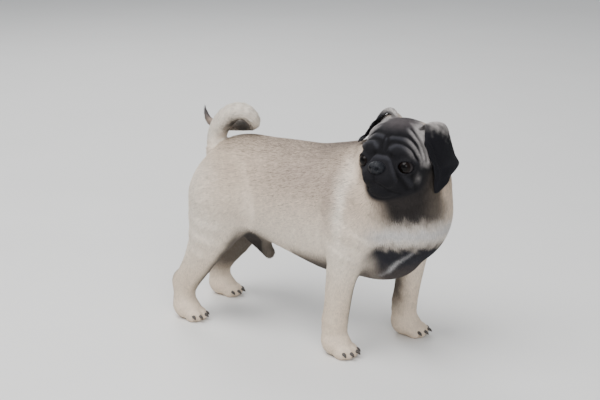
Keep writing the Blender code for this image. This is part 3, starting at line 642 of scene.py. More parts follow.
# From this share of its length on, an ear is pushed clear of the skin, step by step. Each step is
# this many times what is still lacking.
EAR_FREE_FROM = 0.36
EAR_STEPS = 14
EAR_STEP = 1.5
# How far an ear's faces turn outwards towards its rim.
EAR_ROUND = 0.35


def ear_sheet(side, rows, columns):
    """Middle points of an ear and its outward normals, as (rows, columns) grids in world axes."""
    path = smooth_path(EAR_ROWS[side], rows) * MM
    middles, half, bulge = path[:, :3], path[:, 3:4], path[:, 4:5]
    across = EAR_ACROSS / np.linalg.norm(EAR_ACROSS)
    ahead = np.gradient(middles, axis=0)
    out = unit(np.cross(ahead, across))
    u = np.linspace(-1, 1, columns)[None, :, None]
    sheet = middles[:, None] + u * half[:, None] * across + (1 - u**2) * (bulge * out)[:, None]
    out = unit(np.repeat(out[:, None], columns, axis=1) + EAR_ROUND * u * across)
    sheet, out = out_of_head(mirrored(sheet, side)), mirrored(out, side) @ HEAD_AXES.T
    return lifted_off(sheet, np.linspace(0, 1, rows)), out


def evened(grid):
    """Each row of a grid averaged with its neighbours, then each column."""
    for axis in (0, 1):
        ends = [np.take(grid, [0], axis), np.take(grid, [-1], axis)]
        wide = np.concatenate([ends[0], grid, ends[1]], axis)
        size = grid.shape[axis]
        before, after = np.take(wide, range(size), axis), np.take(wide, range(2, size + 2), axis)
        grid = (before + 2 * grid + after) / 4
    return grid


def lifted_off(sheet, along):
    """The hanging part of a sheet moved clear of the skin, with its bends kept soft."""
    clear = EAR_THICKNESS / 2 + EAR_CLEARANCE
    probe = 0.5 * MM
    for _ in range(EAR_STEPS):
        value = flesh(sheet)
        rise = [flesh(sheet + probe * e) - flesh(sheet - probe * e) for e in np.eye(3)]
        push = np.clip(clear - value, 0, 0.004) * (along[:, None] > EAR_FREE_FROM)
        sheet = sheet + EAR_STEP * evened(push[..., None] * unit(np.stack(rise, -1)))
    return sheet


TAIL_SAMPLES = 60
TAIL_PATH = smooth_path(TAIL_JOINTS, TAIL_SAMPLES)
EAR_SAMPLES = (84, 40)
# The part of an ear, from its root, that the skin flows into.
EAR_ROOT = 0.30
EAR_SPACING = 0.9 * MM


def ear_parts(side):
    """An ear's middle sheet, its normals, and half the thickness there, as grids."""
    sheet, out = ear_sheet(side, *EAR_SAMPLES)
    edge = np.abs(np.linspace(-1, 1, EAR_SAMPLES[1]))[None, :, None]
    tip = np.linspace(0, 1, EAR_SAMPLES[0])[:, None, None]
    thin = np.sqrt(np.maximum(1 - edge**6, 0)) * np.sqrt(np.maximum(1 - tip**30, 0))
    half = (EAR_THICKNESS / 2 - SHORT_COAT_DEPTH) * thin
    return sheet, out, half


EARS = {side: ear_parts(side) for side in SIDES}


def nearest(p, points, chunk=8192):
    """The index of the nearest of some points to each p."""
    q = points.astype(np.float32) - points.mean(0).astype(np.float32)
    square = (q**2).sum(-1)
    found = np.empty(len(p), int)
    for start in range(0, len(p), chunk):
        part = (p[start : start + chunk] - points.mean(0)).astype(np.float32)
        found[start : start + chunk] = (square - 2.0 * part @ q.T).argmin(axis=1)
    return found


def ear_field(p, side, share=1.0):
    """Distance to the first share of an ear's thin sheet: the height over the plane at its nearest
    sample or, past its rim, the way back to it, less half the thickness there."""
    rows = max(2, int(share * EAR_SAMPLES[0]))
    points, normals, half = (grid[:rows].reshape(-1, grid.shape[-1]) for grid in EARS[side])

    def field(q):
        near = nearest(q, points)
        away = q - points[near]
        height = (away * normals[near]).sum(-1)
        flat = np.sqrt(np.maximum((away**2).sum(-1) - height**2, 0.0))
        return np.hypot(height, np.maximum(flat - EAR_SPACING, 0.0)) - half[near, 0]

    return within(p, points.min(0) - 0.014, points.max(0) + 0.014, field)


def ear_shell(side):
    """An ear as a closed skin: its sheet's two faces, which meet along the rim."""
    sheet, out, half = EARS[side]
    rows, columns = EAR_SAMPLES
    points = np.concatenate([(sheet + half * out).reshape(-1, 3), (sheet - half * out).reshape(-1, 3)])
    at = np.arange(rows * columns).reshape(rows, columns)
    under = at + rows * columns
    rim = (at[:, 0], at[:, -1], at[-1])
    for line in rim:
        under.ravel()[line] = line
    faces = []
    for grid, way in ((at, 1), (under, -1)):
        quads = np.stack([grid[:-1, :-1], grid[1:, :-1], grid[1:, 1:], grid[:-1, 1:]], -1)
        faces.append(quads.reshape(-1, 4)[:, ::way])
    faces.append(np.stack([at[0, :-1], at[0, 1:], under[0, 1:], under[0, :-1]], -1))
    faces = np.concatenate(faces)
    used, faces = np.unique(faces, return_inverse=True)
    shell = bmesh.new()
    for p in points[used]:
        shell.verts.new(p)
    shell.verts.ensure_lookup_table()
    for face in faces.reshape(-1, 4).tolist():
        corners = list(dict.fromkeys(face))
        if len(corners) > 2:
            shell.faces.new([shell.verts[i] for i in corners])
    bmesh.ops.recalc_face_normals(shell, faces=shell.faces[:])
    return shell_object("ear", shell)


def short_coat(p):
    """1 where the coat is shortest, on the head, the ears, the paws and the tip of the tail, and 0
    on the body."""
    head = 1.0 - ramp(np.linalg.norm(p - HEAD_AT, axis=-1), 0.050, 0.070)
    tip = 1.0 - ramp(np.linalg.norm(p - TAIL_JOINTS[-1][:3], axis=-1), 0.020, 0.045)
    return np.maximum(np.maximum(head, tip), 1.0 - ramp(p[..., 2], 0.020, 0.050))


def skin_field(p):
    """The flesh with its tail and ears, less the depth of the coat."""
    d = blend(flesh(p), tail_field(p), 0.006)
    for side in SIDES:
        d = blend(d, ear_field(p, side, EAR_ROOT), 5 * MM)
    short = short_coat(p)
    return d + COAT_DEPTH * (1.0 - short) + SHORT_COAT_DEPTH * short


# Where the coat's colours and lie go. Points are in the dog's own axes.


def mix(a, b, share):
    """Colours a turned into b by a share for each point."""
    return a + (np.asarray(b) - a) * np.asarray(share)[..., None]


def bump_at(x, middle, width):
    """1 at a middle value, falling off smoothly on both sides."""
    return np.exp(-(((x - middle) / width) ** 2))


def head_angles(p):
    """Bearing from the nose and height over the eye line, in degrees."""
    q = into_head(p)
    bearing = np.degrees(np.arctan2(np.abs(q[..., 1]), q[..., 0]))
    height = np.degrees(np.arctan2(q[..., 2], np.hypot(q[..., 0], q[..., 1])))
    return bearing, height


def head_share(p):
    """1 on the head and 0 on the neck and trunk, changing at the crease between them."""
    rest = blend(trunk_field(p), neck_field(p), NECK_FILLET)
    return ramp(rest - smooth_head(folded(into_head(p))), -3 * MM, 5 * MM)


def waver(p, size, amount):
    """A slow wave over the coat, amount high and about size long, that frays straight borders."""
    x, y, z = (2 * math.pi * p[..., i] / size for i in range(3))
    return amount * (np.sin(x + 1.3 * np.sin(y)) + np.sin(y + 1.7 * np.sin(z)) + np.sin(z + x)) / 3


def body_colours(p, colours):
    """Fawn, paler below, with ticked upper ribs and a grey trace, a painted highlight along the
    shoulder roll and a painted shadow line behind it.
    """
    x, y, z = p[..., 0], p[..., 1], p[..., 2]
    c = np.broadcast_to(colours["fawn"], p.shape).copy()
    c = mix(c, colours["pale"], 0.8 * (1 - ramp(z, 0.125, 0.225)))
    rump = 1 - ramp(x, -0.130, -0.070)
    c = mix(c, colours["pale"], 0.7 * rump * (1 - ramp(z, 0.205, 0.240)))
    c = mix(c, colours["leg"], 0.8 * (1 - ramp(z, 0.050, 0.150)))
    ribs = bump_at(x, 0.035, 0.085) * bump_at(z, 0.222, 0.034)
    c = mix(c, colours["ticked"], 0.85 * ribs)
    trace = ramp(z, 0.222, 0.248) * bump_at(y, 0, 0.035) * ramp(x, -0.140, -0.090)
    c = mix(c, colours["smoke"], trace * (0.40 + 0.45 * ramp(x, 0.000, 0.070)))
    # Painted highlight along the shoulder roll, in pale, and a painted shadow line behind the roll, in
    # the ticked colour.
    bend = waver(p, 0.050, 0.005)
    roll = bump_at(x + bend, 0.097, 0.010) * ramp(-y, 0.030, 0.048) * bump_at(z, 0.196, 0.050)
    behind = bump_at(x + bend, 0.076, 0.009) * ramp(-y, 0.030, 0.046) * bump_at(z, 0.205, 0.040)
    c = mix(c, colours["pale"], 0.95 * roll)
    return mix(c, colours["ticked"], 0.55 * behind)


def dark_hairs(p):
    """The share of hairs with black tips: most along the back, some over the upper ribs."""
    x, y, z = p[..., 0], p[..., 1], p[..., 2]
    back = ramp(z, 0.215, 0.248) * bump_at(y, 0, 0.045) * ramp(x, -0.150, -0.080)
    ribs = bump_at(x, 0.030, 0.090) * bump_at(z, 0.225, 0.035)
    return np.maximum(0.32 * back, 0.16 * ribs) * ramp(tail_field(p), 3 * MM, 8 * MM)


def underside_colours(c, p, colours):
    """Adds dark between and inside the legs, thin over the belly: mostly painted shade where they are
    out of the light, with some dark hair.
    """
    x, y, z = p[..., 0], p[..., 1], p[..., 2]
    inner = 1 - ramp(np.abs(y), 0.024, 0.044)
    # Painted shade, with some dark hair, under the belly, in the groin and inside the legs.
    belly = (1 - ramp(z, 0.094, 0.124)) * inner * (1 - ramp(x, 0.040, 0.080)) * ramp(x, -0.110, -0.060)
    c = mix(c, colours["dark_hair_and_shade"], 0.55 * belly)
    groin = bump_at(x, -0.066, 0.038) * (1 - ramp(z, 0.122, 0.150)) * inner * ramp(z, 0.060, 0.085)
    c = mix(c, colours["dark_hair_and_shade"], 0.85 * groin)
    inside = 1 - ramp(np.abs(y), 0.044, 0.058)
    thigh = 1 - ramp(np.abs(y), 0.048, 0.064)
    hind = thigh * (1 - ramp(z, 0.120, 0.150)) * ramp(z, 0.020, 0.060) * (x < -0.060)
    c = mix(c, colours["dark_hair_and_shade"], 0.85 * hind)
    rear = 1 - ramp(x + waver(p, 0.020, 0.003), 0.116, 0.138)
    fore = inside * rear * (1 - ramp(z, 0.105, 0.130)) * ramp(z, 0.020, 0.065) * (x > 0.0)
    return mix(c, colours["dark_hair_and_shade"], 0.85 * fore)


def chest_colours(c, p, colours):
    """Adds the dark throat, black hair deepened with painted shadow under the head, which runs up into
    the jaws, the silver band under it and the dark grey breast between the forelegs, with a pale seam."""
    x, y = p[..., 0], p[..., 1]
    z = p[..., 2] + waver(p, 0.016, 0.004)
    ahead = ramp(x, 0.108, 0.140)
    far = 1 - ramp(y, -0.016, -0.004 + 0.018 * (1 - ramp(z, 0.200, 0.215)))
    # The throat's dark is black hair deepened with painted shadow under the head.
    throat = ramp(x + 0.4 * (p[..., 2] - 0.200), 0.132, 0.162) * far * ramp(z, 0.172, 0.192)
    c = mix(c, colours["dark_hair_and_shade"], throat * (1 - 0.15 * ramp(y, -0.040, -0.010)))
    middle = ramp(y, -0.078, -0.056) * (1 - ramp(y, 0.016, 0.046))
    c = mix(c, colours["silver"], 0.85 * ahead * middle * bump_at(z, 0.168, 0.012))
    below = ramp(y, -0.068, -0.052) * (1 - ramp(y, 0.010, 0.036))
    breast = ahead * below * (1 - ramp(z, 0.144, 0.161))
    c = mix(c, colours["breast"], breast)
    low = ahead * below * (1 - ramp(z, 0.108, 0.132))
    c = mix(c, colours["smoke"], 0.30 * low)
    line = -0.033 + 0.10 * (z - 0.126)
    seam = ramp(x, 0.120, 0.135) * bump_at(y, line, 0.0018) * bump_at(z, 0.126, 0.017)
    return mix(c, colours["silver"], 0.60 * seam)


# How far ahead of each ear the temple is painted black: painted shadow where the ear stands off the
# cheek.
EAR_SHADE = {"left": 1.6 * MM, "right": 3.6 * MM}


def head_colours(p, colours):
    """A black mask and forehead, with a painted highlight on the ridges of its folds and painted shade
    in their furrows, a pale band of folds from the brow down to the cheek before each ear, lighter on
    its ridges as painted highlight, a grey-brown crown, jaws of dark hair deepened with painted shade,
    fawn behind the ears and painted shadow just ahead of them."""
    b, h = head_angles(p)
    h = h + waver(p, 0.012, 2.5)
    q = into_head(p)
    fold = np.clip(fold_shift(folded(q)) / (1.4 * MM), -1, 1)
    c = np.broadcast_to(colours["mask"], p.shape).copy()
    # Painted highlight on the ridges of the mask's folds, and painted shade darkening their furrows.
    c = mix(c, colours["slate_and_ridge_sheen"], 0.50 * np.clip(fold, 0, 1) * ramp(h, -5, 15))
    c = mix(c, colours["slate_and_ridge_sheen"], 0.22 * np.clip(fold, 0, 1) * (1 - ramp(h, -5, 15)))
    c = c * (1 - 0.7 * np.clip(-fold, 0, 1))[..., None]
    c = mix(c, colours["crown"], ramp(h, 50, 76) * 0.92)
    # The pale band is the coat's own colour, laid on more strongly over the ridges of the folds as
    # painted highlight.
    fan = ramp(b, 30, 62) * ramp(h, 6, 18) * (1 - ramp(h, 50, 64))
    c = mix(c, colours["band"], 0.85 * fan * np.clip(0.10 + 0.90 * fold, 0, 1))
    band = ramp(b, 60, 72) * ramp(h, -8, 8) * (1 - ramp(h, 60, 76))
    c = mix(c, colours["band"], band * np.clip(0.75 + 0.5 * fold, 0.05, 1))
    c = mix(c, colours["band"], 0.33 * bump_at(b, 61, 5) * bump_at(h, -18, 6))
    # Dark hair under the jaws, deepened with painted shade.
    jaw = ramp(b, 66, 84) * (1 - ramp(h, -20, 0))
    c = mix(c, colours["dark_hair_and_shade"], 0.75 * jaw)
    back = ramp(b, 100, 122) * ramp(h, -40, -14) * (1 - ramp(h, 52, 70))
    nape = 1 - ramp(q[..., 0], -42 * MM, -20 * MM)
    c = mix(c, colours["fawn"], np.maximum(back, nape) * 0.95)
    # Painted shadow ahead of each ear, in the ears' black.
    for side, reach in EAR_SHADE.items():
        near = (1 - ramp(ear_field(p, side), reach, 1.6 * reach)) * (1 - ramp(h, 52, 62))
        c = mix(c, colours["ear"], 0.95 * near * (1 - ramp(b, 90, 110)) * ramp(h, -30, 0))
    return c


def ear_colours(p, side, colours):
    """Black velvet, pale over the fold, and how much of each point is ear."""
    points = EARS[side][0].reshape(-1, 3)
    close = 1.0 - ramp(ear_field(p, side), 0.4 * MM, 2.2 * MM)
    on = close > 0
    c = np.zeros(p.shape)
    if on.any():
        near = nearest(p[on], points)
        along = near // EAR_SAMPLES[1] / (EAR_SAMPLES[0] - 1)
        across = near % EAR_SAMPLES[1] / (EAR_SAMPLES[1] - 1)
        edge = along - 0.10 * across + waver(p[on], 0.010, 0.05)
        front = 1 - ramp(across, 0.04, 0.22)
        pale = (1 - ramp(edge, 0.12, 0.42)) * (1 - 0.8 * front)
        c[on] = mix(np.broadcast_to(colours["ear"], p[on].shape), colours["fold"], pale)
    return c, close


# The middle of the tail's curl.
CURL = point(-0.108, 0.0, 0.262)


def tail_colours(p, colours):
    """Cream, darker on the side towards the middle of the curl, where dark hair is deepened with
    painted shade, and dark towards the tip, and how much is tail."""
    close = 1.0 - ramp(tail_field(p), 0.5 * MM, 3.0 * MM)
    c = np.broadcast_to(colours["pale"], p.shape).copy()
    on = close > 0
    if on.any():
        at = nearest(p[on], TAIL_PATH[:, :3])
        along = at / (TAIL_SAMPLES - 1) + waver(p[on], 0.012, 0.03)
        middle, radius = TAIL_PATH[at, :3], TAIL_PATH[at, 3]
        inward = ((p[on] - middle) * unit(CURL - middle)).sum(-1) / np.maximum(radius, 0.1 * MM)
        inward = inward + waver(p[on], 0.008, 0.35)
        # Dark hair inside the curl, deepened with painted shade.
        dark = ramp(inward, -0.3, 0.4) * ramp(along, 0.10, 0.26) * (1 - ramp(along, 0.70, 0.85))
        c[on] = mix(c[on], colours["dark_hair_and_shade"], 0.90 * dark)
        c[on] = mix(c[on], colours["brown"], 0.85 * ramp(along, 0.62, 0.76))
        c[on] = mix(c[on], colours["slate_and_ridge_sheen"], 0.85 * ramp(along, 0.84, 0.94))
    return c, close * ramp(p[..., 2], 0.222, 0.238)


def markings(p, colours):
    """The coat's colour at points, worked out from where they are on the dog."""
    c = body_colours(p, colours)
    c = underside_colours(c, p, colours)
    c = chest_colours(c, p, colours)
    c = mix(c, head_colours(p, colours), head_share(p))
    for side in SIDES:
        c = mix(c, *ear_colours(p, side, colours))
    return mix(c, *tail_colours(p, colours))


def fur_length(p, sizes):
    """The coat's length: longest on the body and tail, shorter down the legs, least on the head."""
    long = sizes.leg_fur + (sizes.body_fur - sizes.leg_fur) * ramp(p[..., 2], 0.080, 0.190)
    long = sizes.head_fur + (long - sizes.head_fur) * ramp(p[..., 2], 0.010, 0.060)
    return long + (sizes.head_fur - long) * head_share(p)


# Where the coat of the head parts, a little ahead of the nose.
COAT_PARTING = point(58, 0, 2) * MM


def lie(p, normals):
    """Which way the coat lies: back along the body, down the legs and the chest, away from the
    nose over the head, and along the tail."""
    x, z = p[..., 0], p[..., 2]
    way = np.broadcast_to((-1.0, 0.0, -0.35), p.shape).copy()
    way = mix(way, (-0.10, 0.0, -1.0), 1 - ramp(z, 0.100, 0.175))
    way = mix(way, (0.20, 0.0, -1.0), ramp(x, 0.105, 0.160))
    from_nose = unit((into_head(p) - COAT_PARTING) @ HEAD_AXES.T)
    way = mix(way, from_nose, head_share(p))
    for side in SIDES:
        on = ear_field(p, side) < 2 * MM
        if on.any():
            points = EARS[side][0]
            ahead = np.gradient(points, axis=0).reshape(-1, 3)
            way[on] = ahead[nearest(p[on], points.reshape(-1, 3))] * 1000
    on = (tail_field(p) < 3 * MM) & (z > 0.228)
    if on.any():
        path = TAIL_PATH[:, :3]
        way[on] = np.gradient(path, axis=0)[nearest(p[on], path)] * 1000
    return unit(way - normals * (way * normals).sum(-1, keepdims=True))


# Meshes.


def set_points(mesh, name, values, kind="FLOAT_COLOR"):
    """Stores a value at every corner point of a mesh. Colours get an opaque alpha."""
    if kind == "FLOAT_COLOR":
        values = np.concatenate([values, np.ones((len(values), 1))], axis=1)
    attribute = mesh.attributes.new(name, kind, "POINT")
    field = "color" if kind == "FLOAT_COLOR" else "value"
    attribute.data.foreach_set(field, np.ascontiguousarray(values, np.float32).ravel())


def linked(name, data):
    """A new object in the scene."""
    obj = bpy.data.objects.new(name, data)
    bpy.context.scene.collection.objects.link(obj)
    return obj


def shell_object(name, shell):
    """A new object from a bmesh, which is freed."""
    mesh = bpy.data.meshes.new(name)
    shell.to_mesh(mesh)
    shell.free()
    return linked(name, mesh)


def mesh_of(name, points, faces):
    """A smooth-shaded object from arrays of points and of equal-sided faces."""
    points, faces = np.asarray(points, np.float32), np.asarray(faces, np.int32)
    mesh = bpy.data.meshes.new(name)
    mesh.vertices.add(len(points))
    mesh.vertices.foreach_set("co", points.ravel())
    mesh.loops.add(faces.size)
    mesh.loops.foreach_set("vertex_index", faces.ravel())
    mesh.polygons.add(len(faces))
    mesh.polygons.foreach_set("loop_start", np.arange(0, faces.size, faces.shape[1], dtype=np.int32))
    mesh.update(calc_edges=True)
    mesh.shade_smooth()
    return linked(name, mesh)


def triangles_of(obj):
    """The points and triangles of a mesh object as arrays."""
    mesh = obj.data
    mesh.calc_loop_triangles()
    points = np.empty(len(mesh.vertices) * 3, np.float32)
    mesh.vertices.foreach_get("co", points)
    faces = np.empty(len(mesh.loop_triangles) * 3, np.int32)
    mesh.loop_triangles.foreach_get("vertices", faces)
    return points.reshape(-1, 3).astype(float), faces.reshape(-1, 3).astype(int)


def corner_normals(points, faces):
    """Unit normals at points: the area-weighted mean of the triangles round each."""
    a, b, c = points[faces].transpose(1, 0, 2)
    cross = np.cross(b - a, c - a)
    total = np.zeros(points.shape)
    for k in range(3):
        for axis in range(3):
            total[:, axis] += np.bincount(faces[:, k], cross[:, axis], len(points))
    return total / np.maximum(np.linalg.norm(total, axis=1, keepdims=True), 1e-12)


def parted(obj):
    """Where two sheets of a net share an edge, both are opened round it and filled again."""
    shell = bmesh.new()
    shell.from_mesh(obj.data)
    for _ in range(6):
        shared = {v for e in shell.edges if len(e.link_faces) != 2 for v in e.verts}
        shared |= {v for v in shell.verts if not v.is_manifold}
        if not shared:
            break
        bmesh.ops.delete(shell, geom=list(shared), context="VERTS")
        rims = [e for e in shell.edges if e.is_boundary]
        bmesh.ops.holes_fill(shell, edges=rims, sides=0)
    bmesh.ops.recalc_face_normals(shell, faces=shell.faces[:])
    shell.to_mesh(obj.data)
    shell.free()
    return obj


def half_space(name, at, facing, push, half=0.45):
    """A big block whose near face passes through at, moved on by push, and which lies ahead of it."""
    turn = Vector(facing).normalized().to_track_quat("X", "Z").to_matrix().to_4x4()
    shell = bmesh.new()
    bmesh.ops.create_cube(shell, size=2 * half)
    bmesh.ops.translate(shell, verts=shell.verts[:], vec=(half + push, 0, 0))
    bmesh.ops.transform(shell, matrix=Matrix.Translation(Vector(at)) @ turn, verts=shell.verts[:])
    return shell_object(name, shell)


def boolean(obj, cutter, operation):
    cut = obj.modifiers.new(operation.title(), "BOOLEAN")
    cut.operation = operation
    cut.object = cutter
    cut.solver = "MANIFOLD"
    bpy.context.view_layer.update()
    graph = bpy.context.evaluated_depsgraph_get()
    made = bpy.data.meshes.new_from_object(obj.evaluated_get(graph))
    obj.modifiers.clear()
    old, obj.data = obj.data, made
    bpy.data.meshes.remove(old)
    bpy.data.objects.remove(cutter)


NECK_JOIN_AT = (0.140, 0.0, 0.2346)
NECK_JOIN_FACING = (0.398, -0.303, 0.866)
JOIN_OVERLAP = 0.2 * MM


def face_part(p):
    """Where the skin needs its finest triangles: the eyes, the muzzle and the nose."""
    q = folded(into_head(p))
    eye = np.linalg.norm(q - EYE_AT, axis=-1) < 19 * MM
    muzzle = np.linalg.norm(q - np.array([46, 0, -12]) * MM, axis=-1) < 25 * MM
    return eye | muzzle


def skin_surface(body_cell, head_cell):
    """Points and triangles of the whole skin: a coarse net for the body and a fine one for the
    head, joined at a plane across the neck, and cut finer again over the face."""
    body = parted(mesh_of("skin", *net(skin_field, BODY_LOW, BODY_HIGH, body_cell)))
    head = parted(mesh_of("head", *net(skin_field, HEAD_AT - HEAD_BOX, HEAD_AT + HEAD_BOX, head_cell)))
    back = [-c for c in NECK_JOIN_FACING]
    boolean(body, half_space("below", NECK_JOIN_AT, back, -JOIN_OVERLAP), "INTERSECT")
    boolean(head, half_space("above", NECK_JOIN_AT, NECK_JOIN_FACING, 0.0), "INTERSECT")
    for side in SIDES:
        boolean(head, ear_shell(side), "UNION")
    boolean(body, head, "UNION")
    points, faces = triangles_of(body)
    bpy.data.objects.remove(body)
    points, faces = refined(points, faces, face_part(points))
    fine = face_part(points)
    points[fine] = settle(points[fine], skin_field)
    points[:, 2] = np.maximum(points[:, 2], 0.0)
    return points, faces


# Tufts of fur.


def scattered(points, faces, per_area, rng):
    """Random places on triangles, as many in each as its area times a number for each square
    metre. Gives each place's triangle and its three weights there."""
    a, b, c = points[faces].transpose(1, 0, 2)
    area = np.linalg.norm(np.cross(b - a, c - a), axis=1) / 2
    wanted = area * per_area((a + b + c) / 3)
    count = np.floor(wanted + rng.random(len(faces))).astype(int)
    face = np.repeat(np.arange(len(faces)), count)
    u, v = rng.random((2, len(face)))
    over = u + v > 1
    u, v = np.where(over, 1 - u, u), np.where(over, 1 - v, v)
    return face, np.stack([1 - u - v, u, v], -1)


def tufts(roots, normals, ways, length, width, lift, rng):
    """Each tuft is a long thin four-sided solid: a small triangle at its root on the skin, and a
    tip at root + length (cos lift way + sin lift normal). Gives points and triangles."""
    n = len(roots)
    side = np.cross(normals, ways)
    turn = rng.normal(0.0, 0.16, n)[:, None]
    ahead = ways * np.cos(turn) + side * np.sin(turn)
    across = np.cross(normals, ahead)
    rise = (lift * rng.uniform(0.6, 1.4, n))[:, None]
    long = (length * rng.uniform(0.75, 1.2, n))[:, None]
    tip = roots + long * (np.cos(rise) * ahead + np.sin(rise) * normals)
    low = roots - 0.25 * MM * normals
    half = (width / 2 * np.ones(n))[:, None]
    left, right = low - half * across, low + half * across
    ridge = roots + 0.35 * half * normals + 0.25 * long * ahead
    corners = np.stack([left, right, ridge, tip], axis=1).reshape(-1, 3)
    shape = np.array([(0, 1, 3), (1, 2, 3), (2, 0, 3), (0, 2, 1)])
    return corners, (np.arange(n)[:, None, None] * 4 + shape).reshape(-1, 3)


# How light a tuft is at the two sides of its root, on its ridge and at its tip; the darker root is
# painted shade among the hairs.
TUFT_SHADES = np.array([0.92, 0.92, 0.98, 1.06])
TUFT_PATCH = 0.003
TUFT_CORNERS = np.array([(0.0, 0.0), (1.0, 0.0), (0.5, 0.4), (0.5, 1.0)]) * TUFT_PATCH


def unwrap(p, part):
    """A flat place from 0 to 1 for points on a part of the skin: round and along the body, each
    leg and the tail, and by bearing and height over the head."""
    x, y, z = p[..., 0], p[..., 1], p[..., 2]
    if part == "head":
        q = into_head(p)
        u = np.arctan2(q[..., 1], q[..., 0]) / (2 * math.pi) + 0.5
        v = np.arctan2(q[..., 2], np.hypot(q[..., 0], q[..., 1])) / math.pi + 0.5
    elif part == "legs":
        fore = x > -0.03
        middle = np.where(fore, 0.110, -0.130)
        turn = np.arctan2(np.abs(y) - 0.052, x - middle) / (2 * math.pi) + 0.5
        u = (turn + fore) / 2
        v = z / 0.26
    elif part == "tail":
        at = nearest(p, TAIL_PATH[:, :3])
        out = p - TAIL_PATH[at, :3]
        u = at / TAIL_SAMPLES
        v = np.arctan2(out[..., 1], out[..., 2]) / (2 * math.pi) + 0.5
    else:
        u = (x + 0.20) / 0.44
        v = np.arctan2(np.abs(y), z - 0.17) / math.pi
    flat = np.stack([u, v], -1)
    return 0.01 + 0.975 * np.clip(flat, 0, 1)


def coat_part(p):
    """The number in COAT_PARTS of the coat piece that each point belongs to."""
    x, y, z = p[..., 0], p[..., 1], p[..., 2]
    ear = np.minimum(ear_field(p, "left"), ear_field(p, "right")) < 2 * MM
    leg = (z < 0.150) & (np.abs(y) > 0.022)
    number = 4 * leg + 2 * (y > 0) + (x > np.where(leg, -0.030, 0.020))
    number = np.where((tail_field(p) < 3 * MM) & (z > 0.226), TAIL_NUMBER, number)
    return np.where((head_share(p) > 0.5) | ear, HEAD_NUMBER, number)


COAT_PARTS = (
    ("coat_right_back", "body"),
    ("coat_right_front", "body"),
    ("coat_left_back", "body"),
    ("coat_left_front", "body"),
    ("coat_hind_leg_right", "legs"),
    ("coat_fore_leg_right", "legs"),
    ("coat_hind_leg_left", "legs"),
    ("coat_fore_leg_left", "legs"),
    ("coat_head", "head"),
    ("coat_tail", "tail"),
)
HEAD_NUMBER, TAIL_NUMBER = 8, 9
COAT_LIMIT = 200_000

# Tufts of the head: how many more than on the body, and how wide beside the body's.
HEAD_MORE = 0.5
HEAD_WIDTH = 0.6
# How steeply tufts rise from the skin, in radians, and how much their shading and tone vary.
TUFT_LIFT = 0.09
TUFT_SHADING = 0.11
TUFT_TONES = 0.14
DARK_TIP = 0.30
# No tufts grow on the soles.
SOLE_TOP = 1.5 * MM


# Finishes.


def arithmetic(operation, turned=False):
    """A method that adds a Math node for its value and another, the other first if turned."""

    def method(self, other):
        first, second = (other, self) if turned else (self, other)
        return self.finish.node("Math", {"operation": operation}, {0: first, 1: second})

    return method


class Value:
    """A number that changes over a surface. Arithmetic on it adds Math nodes to its material."""

    def __init__(self, finish, socket):
        self.finish, self.socket = finish, socket

    __add__, __radd__ = arithmetic("ADD"), arithmetic("ADD", True)
    __sub__, __rsub__ = arithmetic("SUBTRACT"), arithmetic("SUBTRACT", True)
    __mul__, __rmul__ = arithmetic("MULTIPLY"), arithmetic("MULTIPLY", True)


class Finish:
    """A material in the making. Constants go straight onto the shader's sockets."""

    def __init__(self, name, **constants):
        self.material = bpy.data.materials.new(name)
        self.material.use_nodes = True
        self.tree = self.material.node_tree
        self.shader = self.tree.nodes["Principled BSDF"]
        for socket, value in constants.items():
            self.shader.inputs[self.label(socket)].default_value = value

    @staticmethod
    def label(socket):
        return socket.replace("_", " ").title().replace("Ior", "IOR")

    def node(self, kind, settings, inputs, output=0):
        """Adds a node from its type, its settings and the values or links of its sockets."""
        made = self.tree.nodes.new("ShaderNode" + kind)
        for name, value in settings.items():
            setattr(made, name, value)
        for key, value in inputs.items():
            self.plug(made.inputs[key], value)
        return Value(self, made.outputs[output])

    def plug(self, socket, value):
        if isinstance(value, Value):
            self.tree.links.new(value.socket, socket)
        else:
            socket.default_value = value

    def set(self, **sockets):
        for socket, value in sockets.items():
            self.plug(self.shader.inputs[self.label(socket)], value)
        return self.material

    def place(self):
        return self.node("TexCoord", {}, {}, "Object")

    def noise(self, size, detail=2.0, roughness=0.5, squeeze=(1.0, 1.0, 1.0)):
        """Noise from 0 to 1 whose lumps are about size metres across, longer where squeeze is less."""
        place = self.node("VectorMath", {"operation": "MULTIPLY"}, {0: self.place(), 1: squeeze})
        inputs = {"Vector": place, "Scale": 1.0 / size, "Detail": detail, "Roughness": roughness}
        return self.node("TexNoise", {}, inputs, "Fac")

    def stored(self, name, output="Color"):
        return self.node("Attribute", {"attribute_name": name}, {}, output)

    def blended(self, share, first, second, how="MIX"):
        settings = {"data_type": "RGBA", "blend_type": how, "clamp_factor": True}
        return self.node("Mix", settings, {0: share, 6: first, 7: second}, 2)

    def step(self, value, low, high):
        """0 up to low, 1 from high on, and a smooth step between."""
        inputs = {0: value, 1: low, 2: high}
        return self.node("MapRange", {"interpolation_type": "SMOOTHSTEP"}, inputs)

    def bump(self, height, distance, strength=1.0):
        return self.node("Bump", {}, {"Height": height, "Distance": distance, "Strength": strength})

    def grey(self, value):
        return self.node("CombineColor", {}, {0: value, 1: value, 2: value})


def skin_finish():
    """Very short fur: the stored colour in fine streaks along the lie, which are its bump too."""
    f = Finish("short_fur", roughness=0.8, sheen_weight=0.02, specular_ior_level=0.12)
    back = f.noise(0.0008, 3.0, 0.6, (0.16, 1.0, 1.0))
    down = f.noise(0.0008, 3.0, 0.6, (1.0, 1.0, 0.16))
    falls = f.stored("falls", "Fac")
    nap = back + falls * (down - back)
    patches = f.noise(0.008, 2.0)
    tone = 0.58 + 0.56 * nap + 0.26 * patches
    colour = f.blended(1.0, f.stored("coat_colour"), f.grey(tone), "MULTIPLY")
    rough = 0.68 + 0.2 * nap
    return f.set(base_color=colour, roughness=rough, normal=f.bump(nap, 0.0008, 1.0))


